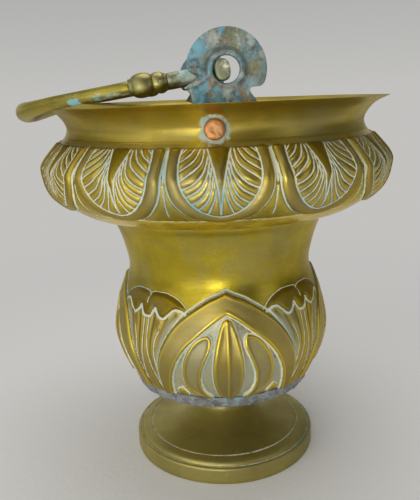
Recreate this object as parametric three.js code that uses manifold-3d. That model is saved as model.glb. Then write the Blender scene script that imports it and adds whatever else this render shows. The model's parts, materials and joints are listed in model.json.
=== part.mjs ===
// Holy water bucket in sheet brass: a rimmed collar and a waisted bowl on a spun foot,
// with a swinging bail hooked through two cast ears.
// Millimetres, +Z up. The vessel's axis is vertical and the bail lies folded towards -X.
// The origin is on the floor, under the middle of the whole object's box.

import * as THREE from 'three';
import { mergeVertices } from 'three/addons/utils/BufferGeometryUtils.js';
import Module from 'manifold-3d';

const wasm = await Module();
wasm.setup();

// Driving dimensions

const fitGap = 0.3; // air kept between pieces that touch
const turnSegments = 48; // facets round every turned piece of the vessel
const dishSegments = 32;
const smallSegments = 16; // facets round pins, rivets and knops

const sheetWall = 1.2;

// Collar: rim, neck and shoulder. Drops are measured down from the rim.
const rimRadius = 112;
const rimEdgeWidth = 1.7;
const rimFlare = 15.5; // how far the rim stands out over the neck
const rimCurlFlare = 5.9; // the same, half-way down the flare
const rimCurlDrop = 4.8;
const neckDrop = 13.4;
const neckFootFlare = 2.4; // how far the neck widens again at its foot
const neckFootDrop = 21.7;
const shoulderTopRadius = 111.3; // between the chased motifs, which stand out from here
const shoulderTopDrop = 34.3;
const shoulderRadius = 112.9;
const shoulderDrop = 41;
const shoulderLowRadius = 108.2;
const shoulderLowDrop = 54.5;
const lipOverhang = 11; // how far the collar's lip stands out over the bowl's flange
const lipDrop = 67.2;
const collarFloorDrop = 69.4;

// Bowl: waist and bulb
const bowlTopRadius = 73.5;
const bowlTopTaper = 0.4;
const bowlTopDrop = 72.6;
const waistTopRadius = 69.5;
const waistTopDrop = 78.2;
const waistUpperRadius = 64.8;
const waistUpperDrop = 92.3;
const waistRadius = 62.5;
const waistDrop = 109.2;
const bulbTopRadius = 68.6;
const bulbTopDrop = 128.8;
const bulbRadius = 73;
const bulbDrop = 153.8;
const bulbLowRadius = 65.4;
const bulbLowDrop = 177.8;
const bowlFootRadius = 55.6;
const bowlFootDrop = 192.2;
const bowlFlangeWidth = 6.5; // lap of the bowl's flange on the collar's floor

// Chased relief on the shoulder and the bulb. Its angles are degrees from the middle of a motif.
const chasedSegments = 144;

// Shoulder: palmettes, each with a stem, a leaf and a rolled border. The outlines are [half-width, drop].
const palmetteCount = 12;
const palmetteTurn = 1; // degrees that the first one stands off the front
const stemOutline = [[3.4, 22.6], [1.6, 33], [0, 50]];
const leafOutline = [[11, 22.6], [10.9, 34.5], [8.2, 48.8], [5.6, 53.4], [0, 57]];
const borderOutline = [[14.7, 22.6], [13.7, 45], [12.1, 51.5], [9.1, 57.1], [0, 61]];
const leafRise = 0.9;
const stemRise = 1.4;
const borderRise = 1.8;

// Bulb: arched panels, each with a lancet and two lobes
const panelCount = 4;
const panelTurn = 3; // degrees that the first one stands off the front
const archOuter = [
  [0, 112.8], [10.5, 118.2], [21, 126.5], [28.5, 135.5], [33.5, 146.5], [37.6, 161], [40, 190],
];
const archInner = [[0, 125], [5.6, 129.4], [14.2, 138.8], [21.6, 148.2], [27.2, 160.4], [32, 190]];
const lancetOutline = [[0, 126.6], [5.2, 139], [7.1, 160], [6, 174], [0, 185]];
const lobeFarEdge = [[10, 137.6], [16.8, 141.8], [22.9, 158.2], [23.4, 168], [15.6, 182.8]];
const lobeNearEdge = [[10, 137.6], [8.2, 144], [13.4, 165], [13.4, 174], [9, 182.8]];
const archRise = 1.7;
const lancetRise = 2.1;
const lancetHollow = 0.25; // share of its rise that is lost between its ridge and its edge
const lobeRise = 1.9;
const lobeHollow = 0.6;

// Bulb: the leaf between two panels, with its folded tip, as [degrees from the leaf's middle, drop]
const tipTopLine = [[0, 117.6], [5, 115], [12, 115.3], [19.6, 118.6], [25.4, 127]];
const tipLowLine = [[0, 130.2], [5.2, 124.2], [10.4, 130], [17, 124], [25.4, 127]];
const tipRise = 2.1;
const fanRise = 0.9;
const chasedFootMargin = 2.5; // plain wall kept above the solder

// Solder beads
const collarBeadWidth = 2.4;
const collarBeadCrown = 1; // width of its top
const collarBeadHeight = 1.6;
const seamBeadHeight = 4.6;
const seamBeadWidth = 1.5;

// Bottom dish
const dishFlangeWidth = 6;
const dishFlangeOverhang = 0.6;
const dishDepth = 5.5;
const dishFlatRadius = 24;
const dishKneeRadius = 36.6; // where the well's side turns into its floor
const dishKneeRise = 1.6; // over the flat

// Foot
const footHeight = 45.5;
const footRadius = 64.5;
const footEdgeHeight = 9.8;
const footEdgeRound = 1.6;
const footGroove = 0.5; // depth of the two turned lines
const footCrownRadius = 59.9; // rounded band between the two lines
const footCrownHeight = 13.4;
const footStepRadius = 54; // inner turned line
const footStepHeight = 14.7;
const footConeRadius = 34;
const footConeHeight = 18.6;
const footFlareRadius = 21.5;
const footFlareHeight = 25.8;
const footStemRadius = 17;
const footStemHeight = 33;
const footWall = 1.6;
const footRoofWall = 2.4;
const footBaseWidth = 3.2; // flat ring the bucket stands on

// Foot fastening
const boltRadius = 4;
const boltHeadRadius = 8.5;
const boltHeadHeight = 3;
const washerRadius = 11.5;
const washerThickness = 1.5;
const nutRadius = 8;
const nutHeight = 5.5;
const boltSpare = 2.5; // thread left below the nut

// Ears: one pattern, cast twice. Heights are measured up from the rivet.
const earThickness = 4;
const earHoleRadius = 6.8;
const earHoleHeight = 30;
const earHeadRadius = 20.5;
const earLeafHalfWidth = 19.5;
const earLeafHeight = 17;
const earNotchHalfWidth = 13.5;
const earNotchHeight = 24;
const earTangHalfWidth = 14;
const earTangFootHalfWidth = 9;
const earTangDrop = 9;
const earRingWidth = 2.6;
const earRingProud = 0.9;
const earSwivel = 13; // degrees that each ear has turned on its single rivet

// Rivets
const rivetHeadRadius = 5.6;
const rivetHeadHeight = 1.5; // of its dome, which starts where the neck's flare meets the head's edge
const rivetShankRadius = 2.1;
const rivetTailRadius = 3.4;
const rivetTailFaceRadius = 2.4;
const rivetTailHeight = 1.2;

// Bail
const armClearance = 2.6; // air between an ear and the arm inside it
const bowSpread = 3.5; // how much wider the bow is than the arms' span at the hooks
const bowStart = 33; // distance of the bow's widest line from the pivot axis
const gripOverhang = 8.3; // how far the grip's middle reaches beyond the rim
const bowSquarePower = 2.5; // 2 would make the bow half an ellipse
const bowDroop = 1.4;
const gripRadius = 6.5;
const rodRadius = 3.4;
const gripFullnessPower = 4; // how suddenly the rod thickens into the grip
const bowRunIn = 2; // straight rod outside a knop
const bowEasing = 8; // length over which that straight passes into the bow
const rodSections = 12;
const knopMiddle = 43.5; // distance of the ball's middle from the pivot axis
const knopBallRadius = 6.3;
const knopBallLength = 11;
const knopRingRadius = 5.3;
const knopRingLength = 6;
const knopNeckRadius = 4.1;
const knopNeckLength = 1.6;
const knopWaistRadius = 3.3; // at the foot of the ball
const knopOverlap = 0.4; // of ball and ring
const tenonRadius = 1.9;
const tenonGap = 1; // between the two tenons inside a knop
const shankRadius = 3.9;
const pinHalfWidth = 4;
const pinHalfHeight = 5.5;
const pinOffset = 2.2; // the pin's middle lies off the hole's middle, where the bail's weight pulls it
const elbowRadius = 6;
const pinProud = 1.6; // of the ear's outer face
const pinNose = 1.6; // length of the pin's rounded end
const restGap = 0.4; // air between the folded bail and the rim

// Heights and places that follow

const footTop = footHeight;
const dishBottom = footTop + fitGap;
const dishTop = dishBottom + sheetWall + dishDepth;
const seamHeight = dishTop + fitGap;
const rimHeight = seamHeight + bowlFootDrop;
const z = (drop) => rimHeight - drop;
const radians = THREE.MathUtils.degToRad;
const neckRadius = rimRadius - rimFlare;
const flangeRadius = bowlTopRadius + bowlFlangeWidth;
const collarFloorRadius = flangeRadius;
const lipRadius = collarFloorRadius + lipOverhang;
const rivetHeight = z(neckDrop);
const innerNeckRadius = neckRadius - sheetWall;
const earFace = innerNeckRadius - fitGap; // distance of an ear's outer face from the axis
const earHoleSide = earHoleHeight * Math.sin(radians(earSwivel));
const pivotHeight = rivetHeight + earHoleHeight * Math.cos(radians(earSwivel));
const earMiddle = earFace - earThickness / 2;
const bailSkew = Math.atan2(earHoleSide, earMiddle); // the swivelled ears skew the pivot axis
const bailHalfSpan = earFace - earThickness - armClearance - shankRadius; // arm's middle at the hooks
const bowHalfWidth = bailHalfSpan + bowSpread;
const bowLength = rimRadius + gripOverhang - bowStart;

// Mesh helpers

const brass = new THREE.MeshStandardMaterial({ color: 0x8a7a2c, roughness: 0.42, metalness: 0.9 });
const darkBrass = new THREE.MeshStandardMaterial({ color: 0x5f5628, roughness: 0.5, metalness: 0.85 });
const paleBrass = new THREE.MeshStandardMaterial({ color: 0x8f8c55, roughness: 0.45, metalness: 0.85 });
const verdigris = new THREE.MeshStandardMaterial({ color: 0x6f8f92, roughness: 0.8, metalness: 0.3 });
const copper = new THREE.MeshStandardMaterial({ color: 0xa8653f, roughness: 0.45, metalness: 0.9 });
const solder = new THREE.MeshStandardMaterial({ color: 0x8e9296, roughness: 0.8, metalness: 0.4 });
const leather = new THREE.MeshStandardMaterial({ color: 0x3a2f26, roughness: 0.9, metalness: 0 });

// A geometry with shared vertices, no collapsed faces, and its faces pointing out.
function closed(geometry) {
  geometry.deleteAttribute('normal');
  geometry.deleteAttribute('uv');
  const merged = mergeVertices(geometry, 1e-4);
  const source = merged.getIndex().array;
  const position = merged.getAttribute('position');
  const corner = [new THREE.Vector3(), new THREE.Vector3(), new THREE.Vector3()];
  const kept = [];
  let volume = 0;
  for (let i = 0; i < source.length; i += 3) {
    const face = [source[i], source[i + 1], source[i + 2]];
    if (new Set(face).size < 3) continue;
    kept.push(...face);
    face.forEach((index, k) => corner[k].fromBufferAttribute(position, index));
    volume += corner[0].dot(corner[1].cross(corner[2]));
  }
  if (volume < 0) kept.reverse();
  const result = new THREE.BufferGeometry();
  result.setAttribute('position', position);
  result.setIndex(kept);
  return result;
}

// A solid turned round the Z axis from [radius, height] points.
function turned(profile, segments = turnSegments) {
  const points = profile.map(([radius, height]) => new THREE.Vector2(radius, height));
  const geometry = new THREE.LatheGeometry(points, segments);
  geometry.rotateX(Math.PI / 2);
  return closed(geometry);
}

// A turned ring: its profile closes on itself.
function turnedRing(profile, segments = turnSegments) {
  return turned([...profile, profile[0]], segments);
}

// A smooth run of [radius, height] points through the given ones.
function smooth(points, steps) {
  const curve = new THREE.SplineCurve(points.map(([r, h]) => new THREE.Vector2(r, h)));
  return curve.getPoints(steps).map((p) => [p.x, p.y]);
}

// The point a distance outside a profile, drawn from top to bottom, at one of its points.
function outside(profile, i, distance) {
  const [r, h] = profile[i];
  const [r0, h0] = profile[Math.max(i - 1, 0)];
  const [r1, h1] = profile[Math.min(i + 1, profile.length - 1)];
  const length = Math.hypot(r1 - r0, h1 - h0);
  return [r - ((h1 - h0) / length) * distance, h + ((r1 - r0) / length) * distance];
}

// The line that lies a distance to the axis side of a profile.
function inside(profile, distance) {
  return profile.map((_, i) => outside(profile, i, -distance));
}

// The radius of a profile, drawn from top to bottom, at a height.
function radiusAt(profile, height) {
  for (let i = 1; i < profile.length; i += 1) {
    const [r0, h0] = profile[i - 1];
    const [r1, h1] = profile[i];
    if (h0 >= height && h1 <= height) return r0 + ((r1 - r0) * (h0 - height)) / (h0 - h1 || 1);
  }
  return profile[profile.length - 1][0];
}

// A row of points round the axis. place(angle) gives [radius, height], with the angle in degrees
// from the front towards +X.
function ringRow(count, first, place) {
  return Array.from({ length: count }, (_, i) => {
    const angle = first + (360 * i) / count;
    const [radius, height] = place(angle);
    return [radius * Math.sin(radians(angle)), -radius * Math.cos(radians(angle)), height];
  });
}

// A sheet woven from rows that run round its section. Of two neighbours, one has as many points as
// the other or a whole number of times as many.
function woven(rows) {
  const points = rows.flat();
  const position = points.flat();
  const index = [];
  const span = (a, b) => Math.hypot(...points[a].map((value, k) => value - points[b][k]));
  let start = 0;
  for (const [r, row] of rows.entries()) {
    const next = rows[(r + 1) % rows.length];
    const nextStart = r + 1 < rows.length ? start + row.length : 0;
    const at = (i) => start + (i % row.length);
    const below = (i) => nextStart + (i % next.length);
    const coarse = Math.min(row.length, next.length);
    const each = Math.max(row.length, next.length) / coarse;
    for (let i = 0; i < coarse; i += 1) {
      // A four-sided cell is cut along its shorter diagonal, a wider one beside its middle.
      const shorter = span(at(i), below(i + 1)) < span(at(i + 1), below(i)) ? 0 : 1;
      const cut = each > 1 ? Math.ceil(each / 2) : shorter;
      for (let k = 0; k < each; k += 1) {
        const fine = i * each + k;
        const near = k < cut ? i : i + 1;
        if (row.length >= next.length) index.push(at(fine), below(near), at(fine + 1));
        else index.push(at(near), below(fine), below(fine + 1));
      }
      const fine = i * each + cut;
      if (row.length >= next.length) index.push(at(fine), below(i), below(i + 1));
      else index.push(at(i), below(fine), at(i + 1));
    }
    start += row.length;
  }
  const geometry = new THREE.BufferGeometry();
  geometry.setAttribute('position', new THREE.Float32BufferAttribute(position, 3));
  geometry.setIndex(index);
  return closed(geometry);
}

// Rows of a turned wall without relief.
function plainRows(profile) {
  return profile.map((point) => ringRow(turnSegments, 0, () => point));
}

// Rows of a turned wall with a motif that repeats round it. rise(angle, drop) gives its height.
function chasedRows(profile, count, turn, rise) {
  const pitch = 360 / count;
  const first = turn % (360 / chasedSegments);
  return profile.map(([, height], i) => ringRow(chasedSegments, first, (angle) => {
    const fromMiddle = ((angle - turn + 1.5 * pitch) % pitch) - pitch / 2;
    return outside(profile, i, rise(fromMiddle, rimHeight - height));
  }));
}

// Linear interpolation in [value, key] points. Outside their keys it gives the other value.
function between(points, key, other) {
  for (let i = 1; i < points.length; i += 1) {
    const [v0, k0] = points[i - 1];
    const [v1, k1] = points[i];
    if (key >= k0 && key <= k1) return v0 + ((v1 - v0) * (key - k0)) / (k1 - k0);
  }
  return other;
}

function toManifold(geometry) {
  const vertProperties = new Float32Array(geometry.getAttribute('position').array);
  const triVerts = new Uint32Array(geometry.getIndex().array);
  return new wasm.Manifold(new wasm.Mesh({ numProp: 3, vertProperties, triVerts }));
}

function fromManifold(manifold) {
  const { vertProperties, triVerts } = manifold.getMesh();
  const geometry = new THREE.BufferGeometry();
  geometry.setAttribute('position', new THREE.BufferAttribute(new Float32Array(vertProperties), 3));
  geometry.setIndex(Array.from(triVerts));
  return closed(geometry);
}

// A quarter round from [radius, foot] towards the axis, without its last point.
function dome(radius, foot, height, steps) {
  return Array.from({ length: steps }, (_, i) => {
    const angle = (Math.PI / 2) * (i / steps);
    return [radius * Math.cos(angle), foot + height * Math.sin(angle)];
  });
}

function circleHole(radius, height) {
  return new THREE.Path().absarc(0, height, radius, 0, 2 * Math.PI, true);
}

// A tube with its ends closed. Each ring is { at, side, rise, halfSide, halfRise }.
function tube(rings, sections) {
  const position = [];
  const index = [];
  const at = (ring, k) => ring * sections + (k % sections);
  for (const ring of rings) {
    for (let k = 0; k < sections; k += 1) {
      const angle = (2 * Math.PI * k) / sections;
      const point = ring.at.clone();
      point.addScaledVector(ring.side, ring.halfSide * Math.cos(angle));
      point.addScaledVector(ring.rise, ring.halfRise * Math.sin(angle));
      position.push(point.x, point.y, point.z);
    }
  }
  for (let ring = 0; ring + 1 < rings.length; ring += 1) {
    for (let k = 0; k < sections; k += 1) {
      index.push(at(ring, k), at(ring, k + 1), at(ring + 1, k));
      index.push(at(ring, k + 1), at(ring + 1, k + 1), at(ring + 1, k));
    }
  }
  for (const ring of [0, rings.length - 1]) {
    for (let k = 1; k + 1 < sections; k += 1) {
      const face = [at(ring, 0), at(ring, k), at(ring, k + 1)];
      index.push(...(ring === 0 ? face.reverse() : face));
    }
  }
  const geometry = new THREE.BufferGeometry();
  geometry.setAttribute('position', new THREE.Float32BufferAttribute(position, 3));
  geometry.setIndex(index);
  return closed(geometry);
}

const part = new THREE.Group();
const vessel = new THREE.Group();
const bail = new THREE.Group();
part.add(vessel, bail);

function addPiece(parent, name, geometry, material) {
  const mesh = new THREE.Mesh(geometry, material);
  mesh.name = name;
  parent.add(mesh);
  return mesh;
}

// Collar

const neckSteps = 6;
const shoulderSteps = 12;
const neckFootRadius = neckRadius + neckFootFlare;
const shoulderLine = [
  [neckFootRadius, z(neckFootDrop)],
  [shoulderTopRadius, z(shoulderTopDrop)],
  [shoulderRadius, z(shoulderDrop)],
  [shoulderLowRadius, z(shoulderLowDrop)],
  [lipRadius, z(lipDrop)],
  [collarFloorRadius, z(collarFloorDrop)],
  [bowlTopRadius + fitGap, z(collarFloorDrop)],
];
const collarOuter = [
  ...smooth([
    [rimRadius, rimHeight],
    [neckRadius + rimCurlFlare, z(rimCurlDrop)],
    [neckRadius, z(neckDrop)],
    [neckFootRadius, z(neckFootDrop)],
  ], neckSteps),
  ...smooth(shoulderLine, shoulderSteps).slice(1),
];
const collarInner = inside(collarOuter, sheetWall);
// The rim's edge and the floor's edge are cut square.
collarInner[0] = [rimRadius - rimEdgeWidth, rimHeight];
const floorTop = z(collarFloorDrop) + sheetWall;
collarInner[collarInner.length - 1] = [bowlTopRadius + fitGap, floorTop];

const leafFootDrop = leafOutline.at(-1)[1];
const borderFootDrop = borderOutline.at(-1)[1];

function palmetteRise(angle, drop) {
  const side = Math.abs(angle);
  const leaf = between(leafOutline, drop, 0);
  const border = between(borderOutline, drop, 0);
  if (side >= border) return 0;
  const stem = between(stemOutline, drop, 0);
  if (side < stem) return stemRise;
  if (side < leaf) return leafRise;
  const across = (side - leaf) / (border - leaf);
  const down = (drop - leafFootDrop) / (borderFootDrop - leafFootDrop);
  return borderRise * Math.sin(Math.PI * Math.max(across, down));
}

// The shoulder's rows are closer together than the neck's and the inner face's.
const neckRows = collarOuter.slice(0, neckSteps + 1);
const shoulderRows = smooth(shoulderLine, 2 * shoulderSteps);
const bandLength = shoulderRows.findIndex(([, height]) => height < z(borderFootDrop)) + 1;
const collarSheet = toManifold(woven([
  ...plainRows(neckRows),
  ...chasedRows(shoulderRows.slice(0, bandLength), palmetteCount, palmetteTurn, palmetteRise).slice(1),
  ...plainRows(shoulderRows.slice(bandLength)),
  ...plainRows([...collarInner].reverse()),
]));

// Rivets: shank, outer head and inner tail in one, lying along Y with the head towards -Y.

const rivetTailSeat = earFace - earThickness - fitGap;
const domeSteps = 4;

// A rod or stepped pin that lies along Y, from [radius, distance along -Y] points.
function pinTowardsFront(profile) {
  const geometry = turned(profile, smallSegments);
  geometry.rotateX(Math.PI / 2);
  return closed(geometry);
}

// The neck as a full body, a gap larger than the sheet, which a rivet's head is formed against.
function neckBody() {
  const wall = inside(collarOuter.slice(0, neckSteps + 2), -fitGap).reverse();
  return turned([[0, wall[0][1]], ...wall, [0, rimHeight]]);
}

function rivetGeometry() {
  const domeFoot = radiusAt(collarOuter, rivetHeight + rivetHeadRadius) + fitGap;
  const crown = domeFoot + rivetHeadHeight;
  const headBlank = pinTowardsFront([
    [0, innerNeckRadius],
    [rivetHeadRadius, innerNeckRadius],
    ...dome(rivetHeadRadius, domeFoot, rivetHeadHeight, domeSteps),
    [0, crown],
  ]);
  const shank = pinTowardsFront([
    [0, rivetTailSeat - rivetTailHeight],
    [rivetTailFaceRadius, rivetTailSeat - rivetTailHeight],
    [rivetTailRadius, rivetTailSeat],
    [rivetShankRadius, rivetTailSeat],
    [rivetShankRadius, domeFoot + rivetHeadHeight / 2],
    [0, domeFoot + rivetHeadHeight / 2],
  ]);
  for (const geometry of [shank, headBlank]) geometry.translate(0, 0, rivetHeight);
  const formedHead = toManifold(headBlank).subtract(toManifold(neckBody()));
  return fromManifold(formedHead.add(toManifold(shank)));
}

// A rod along Y that cuts both rivets' holes.
function rivetHoles() {
  const radius = rivetShankRadius + fitGap;
  const geometry = new THREE.CylinderGeometry(radius, radius, 4 * neckRadius, smallSegments);
  geometry.translate(0, 0, rivetHeight);
  return closed(geometry);
}

addPiece(vessel, 'upper_collar',
  fromManifold(collarSheet.subtract(toManifold(rivetHoles()))), brass);

// Bowl: a flange that laps the collar's floor, the waist, and the bulb

const flangeUnder = floorTop + fitGap;
const bowlSteps = 16;
const bowlLine = [
  [bowlTopRadius, flangeUnder],
  [bowlTopRadius - bowlTopTaper, z(bowlTopDrop)],
  [waistTopRadius, z(waistTopDrop)],
  [waistUpperRadius, z(waistUpperDrop)],
  [waistRadius, z(waistDrop)],
  [bulbTopRadius, z(bulbTopDrop)],
  [bulbRadius, z(bulbDrop)],
  [bulbLowRadius, z(bulbLowDrop)],
  [bowlFootRadius, seamHeight],
];
const bowlOuter = smooth(bowlLine, bowlSteps);
const bowlInner = inside(bowlOuter, sheetWall);
bowlInner[0] = [bowlTopRadius - sheetWall, flangeUnder + sheetWall];
bowlInner[bowlInner.length - 1] = [bowlFootRadius - sheetWall, seamHeight];
const bowlFlange = [
  [flangeRadius, flangeUnder + sheetWall],
  [flangeRadius, flangeUnder],
];
const chasedFootDrop = bowlFootDrop - seamBeadHeight - chasedFootMargin;

function panelRise(angle, drop) {
  const side = Math.abs(angle);
  if (drop > chasedFootDrop) return 0;
  const lancet = between(lancetOutline, drop, 0);
  if (side < lancet) return lancetRise * (1 - lancetHollow * Math.sin((Math.PI * side) / lancet));
  const near = between(lobeNearEdge, drop, 0);
  const far = between(lobeFarEdge, drop, 0);
  if (side > near && side < far) {
    return lobeRise * (1 - lobeHollow * Math.sin((Math.PI * (side - near)) / (far - near)));
  }
  if (side < between(archInner, drop, 0)) return 0;
  if (side < between(archOuter, drop, 0)) return archRise;
  return leafBetweenRise(180 / panelCount - side, drop);
}

// The leaf between two panels, by the angle from its own middle.
function leafBetweenRise(side, drop) {
  const byAngle = (line) => line.map(([angle, lineDrop]) => [lineDrop, angle]);
  if (drop > between(byAngle(tipLowLine), side, Infinity)) return fanRise;
  return drop > between(byAngle(tipTopLine), side, Infinity) ? tipRise : 0;
}

// The bulb's rows are closer together than the waist's and the inner face's.
const waistPoint = bowlLine.findIndex(([radius]) => radius === waistRadius);
const waistSteps = (waistPoint * bowlSteps) / (bowlLine.length - 1);
const bulbRows = smooth(bowlLine, 2 * bowlSteps).slice(2 * waistSteps);
addPiece(vessel, 'lower_bowl', woven([
  ...plainRows([...bowlFlange, ...bowlOuter.slice(0, waistSteps)]),
  ...chasedRows(bulbRows, panelCount, panelTurn, panelRise),
  ...plainRows([...bowlInner].reverse()),
]), brass);

// Solder bead inside, in the step between the flange's edge and the floor

const collarBeadInner = flangeRadius + fitGap;
const collarBeadFoot = floorTop + fitGap;
addPiece(vessel, 'collar_solder_bead', turnedRing([
  [collarBeadInner, collarBeadFoot],
  [collarBeadInner + collarBeadWidth, collarBeadFoot],
  [collarBeadInner + collarBeadCrown, collarBeadFoot + sheetWall],
  [collarBeadInner, collarBeadFoot + collarBeadHeight],
]), solder);

// Bottom dish: its flange closes the bowl from below

const dishSteps = 4;
const dishFlangeRadius = bowlFootRadius + dishFlangeOverhang;
const dishWellRadius = dishFlangeRadius - dishFlangeWidth;
const dishUnder = [
  [dishFlangeRadius, dishTop - sheetWall],
  ...smooth([
    [dishWellRadius, dishTop - sheetWall],
    [dishKneeRadius, dishBottom + dishKneeRise],
    [dishFlatRadius, dishBottom],
  ], dishSteps),
  [boltRadius + fitGap, dishBottom],
];
const dishUpper = dishUnder.map(([r, h]) => [r, h + sheetWall]);
addPiece(vessel, 'bottom_dish', turnedRing([...dishUnder.reverse(), ...dishUpper], dishSegments), brass);

// Solder bead outside, round the seam between bowl and dish

const seamWall = inside(bowlOuter, -fitGap);
// Its section, as [share of the bead's height, share of its width], from the wall's foot and back.
const seamSection = [[0, 0], [0.1, 1], [0.6, 0.7], [1, 0.03], [0.5, 0]];
addPiece(vessel, 'seam_solder_bead', turnedRing(seamSection.map(([up, out]) => {
  const height = seamHeight + seamBeadHeight * up;
  return [radiusAt(seamWall, height) + seamBeadWidth * out, height];
})), solder);

// Foot: a spun pedestal, hollow underneath

const edgeSteps = 3;
const stemSteps = 9;
const edgeTop = footEdgeHeight + footEdgeRound;
const lineRadius = footRadius - footEdgeRound;
const footEdge = dome(footEdgeRound, footEdgeHeight, footEdgeRound, edgeSteps);
const footOuter = [
  [footRadius, 0],
  ...footEdge.map(([r, h]) => [lineRadius + r, h]),
  [lineRadius, edgeTop],
  [lineRadius - footGroove, edgeTop - footGroove],
  [lineRadius - 2 * footGroove, edgeTop],
  [footCrownRadius, footCrownHeight],
  [footStepRadius + 2 * footGroove, footStepHeight],
  [footStepRadius, footStepHeight - footGroove],
  ...smooth([
    [footStepRadius - 2 * footGroove, footStepHeight],
    [footConeRadius, footConeHeight],
    [footFlareRadius, footFlareHeight],
    [footStemRadius, footStemHeight],
    [footStemRadius, footTop],
  ], stemSteps),
];
const footRoof = footTop - footRoofWall;
const footLining = inside([
  [footStemRadius, footTop],
  [footStemRadius, footStemHeight],
  [footFlareRadius, footFlareHeight],
  [footConeRadius, footConeHeight],
  [footStepRadius, footStepHeight - footGroove],
  [footCrownRadius, footCrownHeight - footGroove],
], footWall);
const footInner = [
  [boltRadius + fitGap, footRoof],
  [footStemRadius - footWall, footRoof],
  ...footLining.slice(1),
  [footRadius - footBaseWidth, footEdgeHeight - footWall],
  [footRadius - footBaseWidth, 0],
];
const footProfile = [...footOuter, [boltRadius + fitGap, footTop], ...footInner];
addPiece(vessel, 'foot', turnedRing(footProfile), darkBrass);

// Bolt from inside the dish, its sealing washer, and the washer and nut inside the foot's stem

const headUnder = dishBottom + sheetWall + 2 * fitGap + washerThickness;
const nutTop = footRoof - fitGap;
addPiece(vessel, 'foot_bolt', turned([
  [0, nutTop - nutHeight - boltSpare],
  [boltRadius, nutTop - nutHeight - boltSpare],
  [boltRadius, headUnder],
  ...dome(boltHeadRadius, headUnder, boltHeadHeight, domeSteps),
  [0, headUnder + boltHeadHeight],
], smallSegments), brass);

addPiece(vessel, 'foot_sealing_washer', turnedRing([
  [boltRadius + fitGap, headUnder - fitGap - washerThickness],
  [washerRadius, headUnder - fitGap - washerThickness],
  [washerRadius, headUnder - fitGap],
  [boltRadius + fitGap, headUnder - fitGap],
], smallSegments), leather);

function nutGeometry() {
  const corners = 6;
  const outline = new THREE.Shape();
  for (let i = 0; i < corners; i += 1) {
    const angle = (2 * Math.PI * i) / corners;
    outline[i === 0 ? 'moveTo' : 'lineTo'](nutRadius * Math.cos(angle), nutRadius * Math.sin(angle));
  }
  outline.holes.push(circleHole(boltRadius + fitGap, 0));
  const options = { depth: nutHeight, bevelEnabled: false, curveSegments: smallSegments / 2 };
  const geometry = new THREE.ExtrudeGeometry(outline, options);
  geometry.translate(0, 0, nutTop - nutHeight);
  return closed(geometry);
}

addPiece(vessel, 'foot_nut', nutGeometry(), brass);

// Ears: a round pierced head over a spreading leaf, and a tang inside the neck

const earCurveSteps = 6;

function earOutline() {
  const headStart = -0.1; // where the head's arc leaves the lobe, in radians
  const lobe = [earHeadRadius * Math.cos(headStart), earHoleHeight + earHeadRadius * Math.sin(headStart)];
  const tangCorner = earTangHalfWidth - earTangFootHalfWidth;
  const half = new THREE.Path();
  half.moveTo(0, -earTangDrop);
  half.lineTo(earTangFootHalfWidth, -earTangDrop);
  half.quadraticCurveTo(earTangHalfWidth, -earTangDrop, earTangHalfWidth, tangCorner - earTangDrop);
  half.quadraticCurveTo(earTangHalfWidth, earLeafHeight, earLeafHalfWidth, earLeafHeight);
  half.quadraticCurveTo(earNotchHalfWidth, earLeafHeight, earNotchHalfWidth, earNotchHeight);
  half.quadraticCurveTo(lobe[0], earNotchHeight, ...lobe);
  half.absarc(0, earHoleHeight, earHeadRadius, headStart, Math.PI / 2);
  const right = half.getPoints(earCurveSteps);
  const left = right.slice(1, -1).reverse().map((p) => new THREE.Vector2(-p.x, p.y));
  return new THREE.Shape([...right, ...left]);
}

// A plate in the XZ plane, from one distance along -Y to another.
function upright(shape, from, to) {
  const options = { depth: to - from, bevelEnabled: false, curveSegments: earCurveSteps };
  const geometry = new THREE.ExtrudeGeometry(shape, options);
  geometry.rotateX(Math.PI / 2);
  geometry.translate(0, -from, 0);
  return closed(geometry);
}

// The room inside the neck, which the tang is shaped to, and the open air above the rim.
function neckRoom() {
  const wall = inside(collarOuter.slice(0, neckSteps + 4), sheetWall + fitGap);
  const top = rimHeight + 2 * (earHoleHeight + earHeadRadius);
  const [lowRadius, lowHeight] = wall[wall.length - 1];
  return turned([[0, lowHeight], [lowRadius, lowHeight], ...wall.reverse(), [rimRadius, top], [0, top]]);
}

function earGeometry() {
  const outline = earOutline();
  outline.holes.push(circleHole(earHoleRadius, earHoleHeight));
  outline.holes.push(circleHole(rivetShankRadius + fitGap, 0));
  const ring = new THREE.Shape();
  ring.absarc(0, earHoleHeight, earHoleRadius + earRingWidth, 0, 2 * Math.PI);
  ring.holes.push(circleHole(earHoleRadius, earHoleHeight));
  const plate = toManifold(upright(outline, earFace - earThickness, earFace));
  const boss = toManifold(upright(ring, earFace - earThickness / 2, earFace + earRingProud));
  const casting = fromManifold(plate.add(boss));
  casting.rotateY(radians(earSwivel));
  casting.translate(0, 0, rivetHeight);
  return fromManifold(toManifold(casting).intersect(toManifold(neckRoom())));
}

for (const [side, turn] of [['front', 0], ['rear', Math.PI]]) {
  const ear = earGeometry();
  ear.rotateZ(turn);
  addPiece(vessel, `${side}_ear`, ear, verdigris);
  const rivet = rivetGeometry();
  rivet.rotateZ(turn);
  addPiece(vessel, `${side}_rivet`, rivet, copper);
}

// Bail, drawn flat: its pivot axis is the Y axis and its grip lies towards -X

const knopBallSide = knopMiddle + knopBallLength / 2;
const bowSocketStart = knopBallSide + knopNeckLength;
const ringMiddle = knopMiddle - knopBallLength / 2 - knopRingLength / 2 + knopOverlap;
const hookSocketStart = ringMiddle - knopRingLength / 2 - knopNeckLength;

const droopFrom = 0.5; // share of the bow's length after which it droops

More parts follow.
